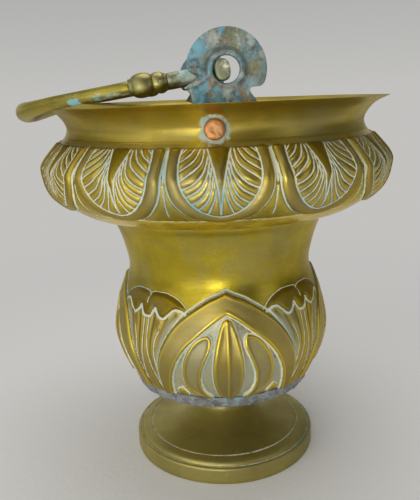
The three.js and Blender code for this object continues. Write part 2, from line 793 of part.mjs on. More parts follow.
// A point of the bow's plan. t runs from 0 at the front arm to 1 at the rear arm.
function bowPoint(t) {
  const angle = Math.PI * t;
  const along = Math.sin(angle) ** (2 / bowSquarePower);
  const across = Math.sign(t - 0.5) * Math.abs(Math.cos(angle)) ** (2 / bowSquarePower);
  const reach = bowStart + bowLength * along;
  const droopShare = Math.max(0, (along - droopFrom) / (1 - droopFrom));
  return new THREE.Vector3(-reach, bowHalfWidth * across, -bowDroop * droopShare ** 2);
}

// The direction from the pin to the ball's middle, along the front arm.
const splay = (bowHalfWidth - bailHalfSpan) / knopMiddle;
const armHalfSpan = (reach) => bailHalfSpan + splay * reach;
const armAngle = Math.atan(splay);

// The bow's middle line: straight out of the front knop, round the grip, and back.
function bowLine() {
  const points = [];
  for (let i = 0; i <= bowPlanPoints; i += 1) {
    const point = bowPoint(i / bowPlanPoints);
    if (-point.x > bowSocketStart + bowRunIn + bowEasing) points.push(point);
  }
  const end = (reach, sign) => new THREE.Vector3(-reach, sign * armHalfSpan(reach), 0);
  const front = [end(bowSocketStart + fitGap, -1), end(bowSocketStart + bowRunIn, -1)];
  const rear = [end(bowSocketStart + bowRunIn, 1), end(bowSocketStart + fitGap, 1)];
  return new THREE.CatmullRomCurve3([...front, ...points, ...rear]);
}

function roundRing(at, direction, radius) {
  const rise = new THREE.Vector3(0, 0, 1);
  const side = new THREE.Vector3().crossVectors(rise, direction).normalize();
  rise.crossVectors(direction, side).normalize();
  return { at, side, rise, halfSide: radius, halfRise: radius };
}

const bowPlanPoints = 36;
const bowCurve = bowLine();
const bowSteps = 34;

function bowRadius(u) {
  const share = Math.sin(Math.PI * u) ** gripFullnessPower;
  return rodRadius + (gripRadius - rodRadius) * share;
}

function bowGeometry() {
  const rings = [];
  for (let i = 0; i <= bowSteps; i += 1) {
    const u = i / bowSteps;
    rings.push(roundRing(bowCurve.getPointAt(u), bowCurve.getTangentAt(u), bowRadius(u)));
  }
  const first = rings[0];
  const last = rings[rings.length - 1];
  const tenonLength = bowSocketStart - knopMiddle;
  const frontAxis = bowCurve.getTangentAt(0);
  const rearAxis = bowCurve.getTangentAt(1);
  const shoulderFront = roundRing(first.at.clone(), frontAxis, tenonRadius);
  const shoulderRear = roundRing(last.at.clone(), rearAxis, tenonRadius);
  const frontTip = first.at.clone().addScaledVector(frontAxis, -tenonLength);
  const rearTip = last.at.clone().addScaledVector(rearAxis, tenonLength);
  const tipFront = roundRing(frontTip, frontAxis, tenonRadius);
  const tipRear = roundRing(rearTip, rearAxis, tenonRadius);
  return tube([tipFront, shoulderFront, ...rings, shoulderRear, tipRear], rodSections);
}

// A knop, turned round Z and then laid along the front arm.
function knopGeometry() {
  const profile = [];
  const bulge = (middle, length, radius, foot, steps) => {
    for (let i = 0; i <= steps; i += 1) {
      const angle = Math.PI * (i / steps);
      const rise = foot + (radius - foot) * Math.sin(angle);
      profile.push([rise, middle - (length / 2) * Math.cos(angle)]);
    }
  };
  profile.push([knopNeckRadius, hookSocketStart]);
  bulge(ringMiddle, knopRingLength, knopRingRadius, knopNeckRadius, 5);
  bulge(knopMiddle, knopBallLength, knopBallRadius, knopWaistRadius, 7);
  profile.push([knopNeckRadius, bowSocketStart]);
  profile.push([tenonRadius + fitGap, bowSocketStart]);
  profile.push([tenonRadius + fitGap, hookSocketStart]);
  const geometry = turnedRing(profile, smallSegments);
  geometry.rotateY(-Math.PI / 2);
  geometry.rotateZ(armAngle);
  geometry.translate(0, -bailHalfSpan, 0);
  return closed(geometry);
}

// The pin's rounded end, as [share of the nose's length still to go, share of the pin's width].
const noseRings = [[1, 1], [0.3, 0.9], [0, 0.66]];

// A hook: tenon, shank, elbow, and the oblong pin that passes out through the ear.
function hookGeometry() {
  const pinAt = -pinOffset;
  const elbowSteps = 6;
  const rings = [];
  const along = new THREE.Vector3(1, splay, 0).normalize();
  const armAt = (reach) => new THREE.Vector3(-reach, -armHalfSpan(reach), 0);
  const shoulder = hookSocketStart - fitGap;
  const tip = knopMiddle - tenonGap;
  rings.push(roundRing(armAt(tip), along, tenonRadius));
  rings.push(roundRing(armAt(shoulder), along, tenonRadius));
  rings.push(roundRing(armAt(shoulder), along, shankRadius));
  const elbowEnd = new THREE.Vector3(pinAt, -bailHalfSpan - elbowRadius, 0);
  const elbowCentre = new THREE.Vector3(pinAt - elbowRadius, elbowEnd.y, 0);
  const rise = new THREE.Vector3(0, 0, 1);
  for (let i = 0; i <= elbowSteps; i += 1) {
    const share = i / elbowSteps;
    const angle = (Math.PI / 2) * share;
    const side = new THREE.Vector3(Math.sin(angle), Math.cos(angle), 0);
    const halfSide = THREE.MathUtils.lerp(shankRadius, pinHalfWidth, share);
    const halfRise = THREE.MathUtils.lerp(shankRadius, pinHalfHeight, share);
    const at = elbowCentre.clone().addScaledVector(side, elbowRadius);
    rings.push({ at, side, rise, halfSide, halfRise });
  }
  const side = new THREE.Vector3(1, 0, 0);
  const face = earFace + earRingProud + pinProud;
  for (const [along, across] of noseRings) {
    const at = new THREE.Vector3(pinAt, pinNose * along - face, 0);
    rings.push({ at, side, rise, halfSide: pinHalfWidth * across, halfRise: pinHalfHeight * across });
  }
  return tube(rings, rodSections);
}

addPiece(bail, 'bail_bow', bowGeometry(), brass);
for (const [side, mirror] of [['front', 1], ['rear', -1]]) {
  for (const [name, geometry] of [['knop', knopGeometry()], ['bail_hook', hookGeometry()]]) {
    geometry.scale(1, mirror, 1);
    addPiece(bail, `${side}_${name}`, closed(geometry), paleBrass);
  }
}

// The folded bail is turned down about its pivot until the bow just clears the rim.

const rimLine = [collarInner[0], ...collarOuter.slice(0, neckSteps)];

function bailPlace(point, drop) {
  const place = point.clone();
  place.applyAxisAngle(new THREE.Vector3(0, 1, 0), -drop);
  place.applyAxisAngle(new THREE.Vector3(0, 0, 1), bailSkew);
  place.z += pivotHeight;
  return place;
}

const restSamples = 400;
const restStep = 0.0005; // radians

function clearanceOverRim(drop) {
  let least = Infinity;
  for (let i = 0; i <= restSamples; i += 1) {
    const u = i / restSamples;
    const place = bailPlace(bowCurve.getPointAt(u), drop);
    for (const [radius, height] of rimLine) {
      const across = Math.hypot(place.x, place.y) - radius;
      least = Math.min(least, Math.hypot(across, place.z - height) - bowRadius(u));
    }
  }
  return least;
}

let restDrop = 0;
while (clearanceOverRim(restDrop) > restGap) restDrop += restStep;

bail.rotation.set(0, -restDrop, bailSkew, 'ZYX');
bail.position.z = pivotHeight;

// The vessel's axis stands off the origin, so that the whole box is centred over it.

part.updateMatrixWorld(true);
const box = new THREE.Box3().setFromObject(part, true);
part.position.x = -(box.min.x + box.max.x) / 2;
part.updateMatrixWorld(true);

export default part;
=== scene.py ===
"""Dresses the solids of a holy water bucket in chased, spun and cast brass.

The sizes below are millimetres, except where a heading says metres. Heights on the two sheets are
drops, measured down from the rim, and angles round the vessel are degrees from the front, towards
+X. The objects themselves are made in metres.
"""

import json
import math

import bpy
import numpy as np
from bpy.props import FloatProperty, FloatVectorProperty, IntProperty, PointerProperty
from mathutils import Matrix, Vector, noise


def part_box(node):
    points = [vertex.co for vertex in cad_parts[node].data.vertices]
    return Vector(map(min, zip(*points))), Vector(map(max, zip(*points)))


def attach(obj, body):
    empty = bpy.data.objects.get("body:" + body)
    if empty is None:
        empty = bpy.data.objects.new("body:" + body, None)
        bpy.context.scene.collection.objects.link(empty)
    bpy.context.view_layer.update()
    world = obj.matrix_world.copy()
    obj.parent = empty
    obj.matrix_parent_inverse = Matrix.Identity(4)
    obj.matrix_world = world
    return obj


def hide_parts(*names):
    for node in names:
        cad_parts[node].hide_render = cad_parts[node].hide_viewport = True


bl_info = {
    "name": "Holy water bucket",
    "version": (1, 0, 0),
    "blender": (4, 5, 0),
    "location": "3D View > Sidebar > Bucket",
    "description": "Makes the chased sheets, castings, rivets and bail of a holy water bucket",
    "category": "Add Mesh",
}

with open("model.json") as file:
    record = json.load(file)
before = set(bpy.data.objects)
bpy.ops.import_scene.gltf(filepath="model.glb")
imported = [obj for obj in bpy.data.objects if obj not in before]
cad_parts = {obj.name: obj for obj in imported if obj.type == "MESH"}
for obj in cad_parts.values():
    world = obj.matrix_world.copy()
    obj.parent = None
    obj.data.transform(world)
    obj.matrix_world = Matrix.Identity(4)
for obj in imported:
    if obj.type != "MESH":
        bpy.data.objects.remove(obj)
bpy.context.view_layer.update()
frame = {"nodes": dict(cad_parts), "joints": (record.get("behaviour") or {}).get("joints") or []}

MM = 0.001
JOINT = frame["joints"][0]
PIVOT = Vector(JOINT["pos_m"])
HINGE = Vector(JOINT["axis"]).normalized()


def box_middle(node):
    low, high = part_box(node)
    return (low + high) / 2


AXIS_X = box_middle("upper_collar").x
RIM_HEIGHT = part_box("upper_collar")[1].z / MM
RIVET_HEIGHT = box_middle("front_rivet").z / MM
FOOT_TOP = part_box("foot")[1].z / MM

# The sheets' outer lines, as (radius, drop), and the rim's edge, as (share of its width, drop)
SHEET_WALL = 1.2
FIT_GAP = 0.3
NECK_CREASE_DROP = 20.4
RIM_LINE = ((112, 0), (102.4, 4.8), (96.5, 13.4), (98.3, NECK_CREASE_DROP))
SHOULDER_LINE = ((98.3, NECK_CREASE_DROP), (101.4, 23), (111.3, 34.3), (112.9, 41), (108.2, 54.5),
                 (91, 67.2), (80, 69.4), (73.8, 69.4))
BOWL_LINE = ((73.5, 67.9), (73.1, 72.6), (69.5, 78.2), (64.8, 92.3), (62.5, 109.2), (68.6, 128.8),
             (73, 153.8), (65.4, 177.8), (55.6, 192.2))
RIM_EDGE_WIDTH = 1.7
RIM_EDGE = ((1.1, 0.5), (0.85, 0.1), (0.5, 0), (0.15, 0.06))
RIM_DENT_ANGLE = -37.0
RIM_DENT_SPREAD = 16.0
FLANGE_WIDTH = 6.5
LINE_STEPS = 16

# Mesh rows along the band, the bulb and the sheets' inner faces
BAND_ROWS = 84
BULB_ROWS = 122
COLLAR_INNER_ROWS = 34
BOWL_INNER_ROWS = 44

# Drops between which the dents grow below the ears and the collar, and end above the seam
DENTS_BELOW_EARS = (22, 30)
DENTS_BELOW_COLLAR = (72, 84)
DENTS_ABOVE_SEAM = (180, 186)

# Shoulder band: its lines, and one palmette as (degrees from its middle, drop)
BAND_TOP_DROP = 22.8
BAND_LOW_DROP = 61.2
PALMETTES = 12
FIRST_PALMETTE = 1.0
PALMETTE_LEAF = ((0, 57.0), (2.4, 56.2), (5.6, 53.4), (8.2, 48.8), (10.0, 42.5), (10.9, 34.5),
                 (11.0, 28.5), (10.4, 22.6))
PALMETTE_BORDER = ((0, 61.0), (4.6, 60.1), (9.1, 57.1), (12.1, 51.5), (13.7, 45.0), (14.3, 37.0),
                   (14.7, 22.6))
PALMETTE_STEM = ((0, 55.6), (0.3, 49.0), (0.7, 42.0), (1.7, 33.0), (3.5, 22.6))
PALMETTE_RIBS = (
    ((8.6, 22.6), (10.9, 26.0)),
    ((6.6, 22.8), (8.2, 26.4), (10.9, 29.6)),
    ((5.2, 23.4), (7.0, 29.0), (10.6, 33.6)),
    ((4.2, 24.0), (5.3, 31.0), (10.4, 38.0)),
    ((3.2, 27.3), (4.3, 34.4), (6.8, 39.2), (10.2, 42.4)),
    ((2.7, 29.7), (3.4, 36.0), (5.4, 42.1), (9.2, 46.4)),
    ((2.2, 32.5), (2.9, 39.5), (4.5, 45.8), (7.8, 50.0)),
    ((1.8, 36.5), (2.3, 42.5), (3.6, 48.7), (6.2, 53.0)),
    ((1.2, 42.3), (1.7, 47.9), (3.4, 54.8)),
)
DIVIDER_FORK_DROP = 40.0
SPANDREL_VEIN = ((15.0, 42.0), (15.0, 57.5))

# Bulb: its top, and one arched panel as (degrees from its middle, drop)
BULB_TOP_DROP = 110.5
PANELS = 4
FIRST_PANEL = 3.0
ARCH_OUTER = ((0, 112.8), (4.5, 115.2), (10.5, 118.2), (21, 126.5), (28.5, 135.5), (33.5, 146.5),
              (37.6, 161.0), (39.3, 175.0), (40, 192.2))
ARCH_INNER = ((0, 126.2), (5.6, 130.2), (14.2, 138.8), (21.6, 148.2), (27.2, 160.4), (30.3, 171.0),
              (32, 181.5), (32.5, 192.2))
LANCET = ((0, 127.4), (2.8, 130.0), (5.4, 139.5), (7.3, 152.0), (8.0, 162.0), (7.6, 171.0), (6.2, 177.6),
          (3.6, 181.4), (0, 182.4))
LOBE = ((9.6, 137.4), (12.8, 138.2), (16.8, 141.8), (20.4, 148.6), (22.9, 158.2), (23.4, 168.0),
        (21.4, 176.3), (15.6, 181.2), (9.6, 183.2), (8.8, 181.0), (12.0, 177.4), (13.7, 171.5),
        (13.2, 163.2), (10.9, 154.4), (8.5, 147.0), (7.8, 140.6))
CORNER_LEAF = ((25.6, 175.0), (29.4, 178.6), (27.0, 182.6), (22.6, 181.0))

# The leaf between two panels, as (degrees from the leaf's middle, drop)
LEAF_SPAN = 45.0
TIP_TOP = ((0, 116.9), (1.6, 115.6), (5.0, 115.0), (12.0, 115.3), (19.6, 118.6), (24.6, 124.0),
           (25.4, 127.0))
TIP_SCALLOPS = ((0, 130.2), (2.6, 129.4), (5.2, 124.2), (7.4, 127.8), (10.4, 130.0), (13.4, 127.6),
                (17.0, 124.0), (21.0, 124.2), (25.4, 127.0))
LEAF_VEINS = (
    ((1.7, 131.5), (1.5, 144.0), (2.4, 158.0), (4.4, 176.0), (5.4, 186.0)),
    ((9.0, 138.0), (6.6, 146.0), (6.2, 158.0), (7.0, 170.0)),
)
LEAF_CREASES = (
    ((5.6, 128.0), (4.2, 140.0), (4.0, 154.0), (5.6, 170.0)),
    ((13.0, 130.0), (10.4, 138.0), (8.4, 150.0), (7.9, 162.0)),
    ((18.0, 127.0), (13.4, 134.0), (10.6, 144.0)),
)
NOTCH_DEPTH = ((0, 116.0), (0, 122.6))
ORNAMENT_FOOT = (182.6, 185.2)

# Solder: how far it is smeared up over the ornament's feet, its gap to the sheet, and its lumps
SOLDER_SMEAR = 4.6
SOLDER_GAP = 0.12
LUMP_ROUND = 9
INNER_BEAD_WIDTH = 2.4

# Dish, as (radius, height over its bottom), and the fastening under it
DISH_FLANGE_WIDTH = 6.4
DISH_EDGE_ROUND = 0.4
DISH_LINE = ((36.6, 1.6), (24, 0))
BOLT_RADIUS = 4
BOLT_CHAMFER = 0.6
BOLT_HEAD_HEIGHT = 3
BOLT_EDGE = 0.4
WASHER_ROUND = 0.4

# Foot, as (radius, height)
FOOT_RADIUS = 64.5
FOOT_CHAMFER = 0.5
FOOT_SIDE_HEIGHTS = (FOOT_CHAMFER, 3, 6.4)
FOOT_EDGE_HEIGHT = 9.8
FOOT_EDGE_ROUND = 1.6
FOOT_LINE_DEPTH = 0.5
FOOT_LINE_INSET = 0.3
FOOT_CROWN_INSET = 1.1
FOOT_TOP_PLATE = 2.4
FOOT_FLUTTER = 0.25
FOOT_CROWN = (59.9, 13.4)
FOOT_STEP = (54, 14.7)
FOOT_STEM_LINE = ((53, 14.7), (34, 18.6), (21.5, 25.8), (17, 33), (17, FOOT_TOP))
FOOT_LINING = ((14.6, FOOT_TOP - FOOT_TOP_PLATE), (15.4, 33), (20, 25.1), (33.3, 17.2), (53.8, 12.6),
               (59.4, 11.3), (61.3, 8.2))
FOOT_BORE = 4.3
FOOT_BASE_WIDTH = 3.2
FOOT_STAINS = (((61.2, -30.2, 11.4), (6.5, 9.5, 3.0), 0.0, 0.75),)

# Ears, as (side, height) from the hole's middle, with patches as (side, height, radius)
EAR_FACE = 95.0
EAR_THICKNESS = 4.0
EAR_HOLE_RADIUS = 6.8
EAR_HOLE_HEIGHT = 30.0
EAR_SWIVEL = 13.0
EAR_HEAD_RADIUS = 20.5
EAR_RING_WIDTH = 2.6
EAR_RING_PROUD = 0.9
EAR_BEVEL = 0.35
EAR_HALF_OUTLINE = ((0, -39), (9, -39), (12.6, -37.6), (14, -34), (14, -24), (14.6, -17.5), (17.2, -14.2),
                    (19.5, -13.2), (17.4, -11.2), (14.4, -8.6), (13.9, -6.6), (15.6, -5.6), (18.8, -4.6),
                    (20.2, -2.6))
EAR_PATCHES = {
    "turquoise": ((-16.6, 6.0, 5.0), (-6.4, 17.4, 2.4), (-10.8, -12.7, 5.0), (8.0, -10.6, 1.7),
                  (7.4, -14.6, 2.2), (14.4, -5.4, 2.6), (0.4, -15.6, 3.6), (-10.4, -18.4, 4.2),
                  (6.6, -20.0, 3.4)),
    "white": ((-9.2, 13.2, 3.8), (9.4, 14.8, 2.0), (8.2, 17.6, 2.0), (16.6, 10.6, 2.6), (-8.6, 5.2, 2.2),
              (-14.8, -16.8, 1.7), (8.6, -1.6, 2.2), (3.6, -12.2, 4.0), (-9.6, -4.6, 1.6),
              (-13.6, -9.4, 2.2)),
    "olive": ((1.2, 16.4, 6.2), (2.6, 12.6, 4.0), (13.4, 3.6, 5.0), (-12.6, 3.4, 3.2), (-3.4, -14.4, 1.9)),
}
EAR_SCRAPES = (
    ((-6.2, -6.2), (-3.4, -8.2), (0.4, -8.9), (4.0, -8.0), (6.4, -6.2)),
    ((7.4, -6.6), (10.0, -9.6), (13.2, -11.8), (16.4, -13.2)),
    ((-6.2, -7.6), (-6.8, -10.6), (-6.4, -14.0)),
    ((-10.8, 18.0), (-8.2, 19.2)),
)
EAR_SCRAPE_WIDTH = 1.3
EAR_CURL = ((-13.2, -5.8), (-16.6, -5.2), (-18.2, -1.6), (-15.6, 1.4), (-13.0, 0.2))
EAR_COLUMNS = 220
EAR_FACE_ROWS = 30
EAR_BACK_ROWS = 12
EAR_RIDGES = (
    ((-8.0, -5.5), (-12.5, -9.6), (-18.6, -13.4)),
    ((-5.2, -8.6), (-7.6, -14.0), (-9.4, -23.0)),
    ((6.6, -7.4), (9.4, -12.0), (16.6, -15.2)),
    ((4.4, -9.0), (5.0, -15.0), (5.6, -25.0)),
)

# Rivets
RIVET_HEAD_RADIUS = 5.6
RIVET_HEAD_HEIGHT = 1.5
RIVET_DISH_RADIUS = 2.2
RIVET_SHANK_RADIUS = 2.1
RIVET_TAIL_RADIUS = 3.4
RIVET_TAIL_HEIGHT = 1.2
RIVET_SEGMENTS = 72
RIVET_SEAT = 0.12
RIVET_LEAST_RISE = 0.25
NECK_RADIUS = 96.5

# Bail, drawn flat: reach is measured from the pivot towards the grip
ARM_HALF_SPAN = 84.5
BOW_HALF_WIDTH = 88.0
BOW_START = 33.0
BOW_LENGTH = 87.3
BOW_SQUARE_POWER = 2.5
BOW_DROOP = 1.4
DROOP_FROM = 0.5
GRIP_RADIUS = 6.5
ROD_RADIUS = 3.4
GRIP_POWER = 4
BALL_REACH = 43.5
BALL_RADIUS = 6.3
BALL_LENGTH = 11.0
RING_RADIUS = 5.3
RING_LENGTH = 6.0
RING_OVERLAP = 0.4
KNOP_NECK_RADIUS = 4.1
KNOP_NECK_LENGTH = 1.6
KNOP_WAIST_RADIUS = 3.3
BOW_RUN_IN = 2.0
BOW_EASING = 8.0
BOW_PLAN_POINTS = 36
BOW_RINGS = 150
SHANK_RADIUS = 3.9
TENON_RADIUS = 1.9
TENON_GAP = 1.0
PIN_HALF_WIDTH = 4.0
PIN_HALF_HEIGHT = 5.5
PIN_OFFSET = 2.2
PIN_PROUD = 1.6
PIN_SQUARE_POWER = 2.5
ELBOW_RADIUS = 6.0

# What follows from them: how the arms spread, and where the knops' pieces sit along them
ARM_SPLAY = (BOW_HALF_WIDTH - ARM_HALF_SPAN) / BALL_REACH
BOW_SOCKET = BALL_REACH + BALL_LENGTH / 2 + KNOP_NECK_LENGTH
RING_REACH = BALL_REACH - BALL_LENGTH / 2 - RING_LENGTH / 2 + RING_OVERLAP
HOOK_SOCKET = RING_REACH - RING_LENGTH / 2 - KNOP_NECK_LENGTH

# Stains on the folded bail's front arm, as (place, half size, strength, blueness)
BOW_STAINS = (
    ((-67.4, -86.0, 247.0), (4.2, 9.0, 2.0), 1.0, 0.8),
    ((-54.0, -88.0, 247.6), (2.6, 9.0, 1.6), 0.8, 0.7),
    ((-45.5, -92.0, 248.0), (17.0, 9.0, 3.9), 0.42, 0.12),
)

# The pale front shank, in the same terms
HOOK_STAINS = (((-5.0, -86.0, 258.0), (12.0, 9.0, 6.0), 0.7, 0.06),)

# Camera, from the view's perspective
CAMERA_DISTANCE = 415.06
CAMERA_HEIGHT = 249.48
CAMERA_PITCH = 14.41
CAMERA_YAW = -1.04
CAMERA_ROLL = -2.09
CAMERA_LENS = 43.98
CAMERA_SHIFT = 2.07 / 500

# The direction from which the least light comes
DARK_SIDE = (0.86, -0.48, 0.12)

# Lamps, as (size, place, target) in metres
MIDDLE = (0, 0, 0.15)
LAMPS = {
    "Key": ((1.2, 1.3), (-0.75, -0.95, 0.85), MIDDLE),
    "Fill": ((0.5, 0.9), (0.95, -0.6, 0.5), MIDDLE),
    "Top": ((0.9, 0.9), (0.1, 0.15, 1.25), MIDDLE),
    "Low": ((0.8, 0.25), (-0.25, -0.75, 0.1), MIDDLE),
    "Flash": ((0.1, 0.1), (-0.13, -0.8, 0.42), (0, 0, 0.2)),
    "Glow": ((0.16, 0.12), (-0.08, -0.72, 0.07), (0, 0, 0.12)),
}

# The thin film on every metal, and the colour of its glancing light
FILM_WEIGHT = 0.2
FILM_ROUGHNESS = 0.26
GLINT = (1.0, 0.91, 0.6)

# Kinds of a node group's sockets
NUMBER, VECTOR, COLOUR = "NodeSocketFloat", "NodeSocketVector", "NodeSocketColor"


# Lines and walls


def through(points, steps=12):
    """A smooth run of points through the given ones, passing each of them."""
    points = np.array(points, float)
    padded = np.vstack([points[:1], points, points[-1:]])
    parts = []
    for i in range(1, len(padded) - 2):
        p0, p1, p2, p3 = padded[i - 1:i + 3]
        last = i == len(padded) - 3
        t = np.linspace(0, 1, steps + last, endpoint=last)[:, None]
        parts.append(0.5 * (2 * p1 + (p2 - p0) * t + (2 * p0 - 5 * p1 + 4 * p2 - p3) * t ** 2
                            + (3 * p1 - p0 - 3 * p2 + p3) * t ** 3))
    return np.vstack(parts)


def nearest(line, x, y):
    """The distance from each grid point to a line."""
    best = np.full(x.shape, 1e9)
    for (ax, ay), (bx, by) in zip(line[:-1], line[1:]):
        dx, dy = bx - ax, by - ay
        share = np.clip(((x - ax) * dx + (y - ay) * dy) / max(dx * dx + dy * dy, 1e-12), 0, 1)
        best = np.minimum(best, np.hypot(x - ax - share * dx, y - ay - share * dy))
    return best


def within(outline, x, y):
    """Which grid points lie inside a closed outline."""
    inside = np.zeros(x.shape, bool)
    for (ax, ay), (bx, by) in zip(outline, np.roll(outline, -1, axis=0)):
        if ay == by:
            continue
        crosses = (ay > y) != (by > y)
        inside ^= crosses & (x < (bx - ax) * (y - ay) / (by - ay) + ax)
    return inside


def smoothstep(low, high, value):
    share = np.clip((value - low) / (high - low), 0, 1)
    return share * share * (3 - 2 * share)


def ridge(distance, width):
    return np.exp(-(distance / width) ** 2)


class Wall:
    """A turned wall's outer line, by the length run along it from the top."""

    def __init__(self, line):
        self.radius_points, self.drop_points = np.array(line, float).T
        steps = np.hypot(np.diff(self.radius_points), np.diff(self.drop_points))
        self.run_points = np.concatenate([[0], np.cumsum(steps)])
        self.length = self.run_points[-1]
        self.turn_points = np.gradient(self.radius_points, self.run_points)
        self.fall_points = np.gradient(self.drop_points, self.run_points)

    def radius(self, run):
        return np.interp(run, self.run_points, self.radius_points)

    def drop(self, run):
        return np.interp(run, self.run_points, self.drop_points)

    def normal(self, run):
        out = np.interp(run, self.run_points, self.fall_points)
        up = np.interp(run, self.run_points, self.turn_points)
        size = np.hypot(out, up)
        return out / size, up / size

    def run_at(self, drop):
        return np.interp(drop, self.drop_points, self.run_points)

    def flat(self, points, steps=10):
        """A smooth line in (degrees, drop) as millimetres across and along the wall."""
        degrees, drop = through(points, steps).T
        run = self.run_at(drop)
        return np.stack([np.radians(degrees) * self.radius(run), run], 1)


NECK_WALL = Wall(through(RIM_LINE, LINE_STEPS))
BOWL_WALL = Wall(through(BOWL_LINE, LINE_STEPS))


# Chased relief. Each function takes millimetres across (from the motif's middle) and along the wall,
# and gives the relief's height and the masks below. Distances to lines change sign across each line,
# so that they stay exact between the mesh's points, and FAR stands for no line nearby.

FAR = 9.0
# The last mask is made from the relief itself: rubbed brass and painted highlights on the high spots,
# painted shade in the hollows
MASKS = ("edges", "veins", "recess", "tarnish", "wear")


def mirrored(line):
    """A half outline that starts on the middle line, closed by its mirror image."""
    return np.vstack([line, line[::-1] * [-1, 1]])


def beyond(line, x, y):
    """Which grid points lie above a line that runs outwards and down."""
    edge = 1e3
    return within(np.vstack([line, [[edge, line[-1, 1]], [edge, -edge], [line[0, 0], -edge]]]), x, y)


def signed(distance, *regions):
    """The distance, with its sign changed once for each region that holds the point."""
    odd = sum(region.astype(int) for region in regions) % 2
    return np.where(odd == 1, -distance, distance)


def palmette_relief(wall, x, y):
    """One palmette of the shoulder, and half of the divider on each side of it."""
    side = np.abs(x)
    pitch = math.radians(360 / PALMETTES / 2) * wall.radius(y)
    leaf, border, stem = (wall.flat(p) for p in (PALMETTE_LEAF, PALMETTE_BORDER, PALMETTE_STEM))
    in_leaf, in_border, in_stem = (within(mirrored(p), x, y) for p in (leaf, border, stem))
    to_leaf, to_border, to_stem = (nearest(p, side, y) for p in (leaf, border, stem))
    in_fan = in_leaf & ~in_stem

    to_rib = np.full(x.shape, FAR)
    above = []
    for points in PALMETTE_RIBS:
        rib = wall.flat(points, 12)
        rib = rib[within(mirrored(leaf), *rib.T) & ~within(mirrored(stem), *rib.T)]
        to_rib = np.minimum(to_rib, nearest(rib, side, y))
        above.append(beyond(rib, side, y) & in_fan)
    veins = signed(to_rib, *above)

    rib_rise = 0.35 + 0.95 * (1 - ridge(np.minimum(to_rib, np.minimum(to_leaf, to_stem)), 0.8))
    stem_rise = 0.4 + 1.1 * smoothstep(0, 2.6, to_stem)
    share = to_leaf / (to_leaf + to_border + 1e-9)
    roll = 0.35 + 1.45 * np.sin(math.pi * share) ** 0.8
    spandrel = -0.25 + 0.35 * smoothstep(0, 3, to_border)
    height = np.where(in_stem, stem_rise, np.where(in_leaf, rib_rise, np.where(in_border, roll, spandrel)))

    to_middle = np.abs(side - pitch)
    to_divider = np.hypot(to_middle, np.maximum(y - wall.run_at(DIVIDER_FORK_DROP), 0))
    vein_top, vein_foot = wall.run_at(SPANDREL_VEIN[0][1]), wall.run_at(SPANDREL_VEIN[1][1])
    to_vein = np.hypot(to_middle, np.maximum(vein_top - y, 0) + np.maximum(y - vein_foot, 0))
    height -= 0.9 * ridge(to_divider, 1.1) + 0.5 * ridge(to_vein, 0.8) + 0.5 * ridge(to_border, 0.8)

    crease, top, low = (wall.run_at(drop) for drop in (NECK_CREASE_DROP, BAND_TOP_DROP, BAND_LOW_DROP))
    height *= smoothstep(top - 0.5, top + 0.9, y) * (1 - smoothstep(low - 0.9, low + 0.5, y))
    height += 0.3 * ridge(y - crease, 0.6) - 0.25 * ridge(y - top, 0.5) - 0.5 * ridge(y - low, 0.7)

    in_band = (y > top) & (y < low)
    creases = np.minimum(to_divider + 0.16, to_vein + 0.1)
    outlines = np.minimum(np.minimum(to_leaf, to_border), np.minimum(to_stem, creases))
    edges = signed(outlines, in_border, in_leaf, in_stem & in_leaf)
    edges = np.where(in_band, edges, FAR)
    for run, thinner in ((crease, 0.5), (low, 0.1)):
        edges = np.where(np.abs(y - run) + thinner < np.abs(edges), np.abs(y - run) + thinner, edges)
    veins = np.where(in_band, veins, FAR)
    tarnish = 0.4 * in_fan + 0.95 * in_stem * smoothstep(0.3, 1.0, to_stem) + 0.8 * (in_border & ~in_leaf)
    # Below the band, on the rolled lip, the tarnish is below zero, which bares bright brass in the shader:
    # a painted reflection of the floor
    tarnish = np.where(in_band, tarnish, np.where(y > low, -0.6, 0.4 * (y < crease)))
    recess = 0.35 * smoothstep(crease, crease + 0.5, y) * (y < top)
    return height, edges, veins, recess, tarnish


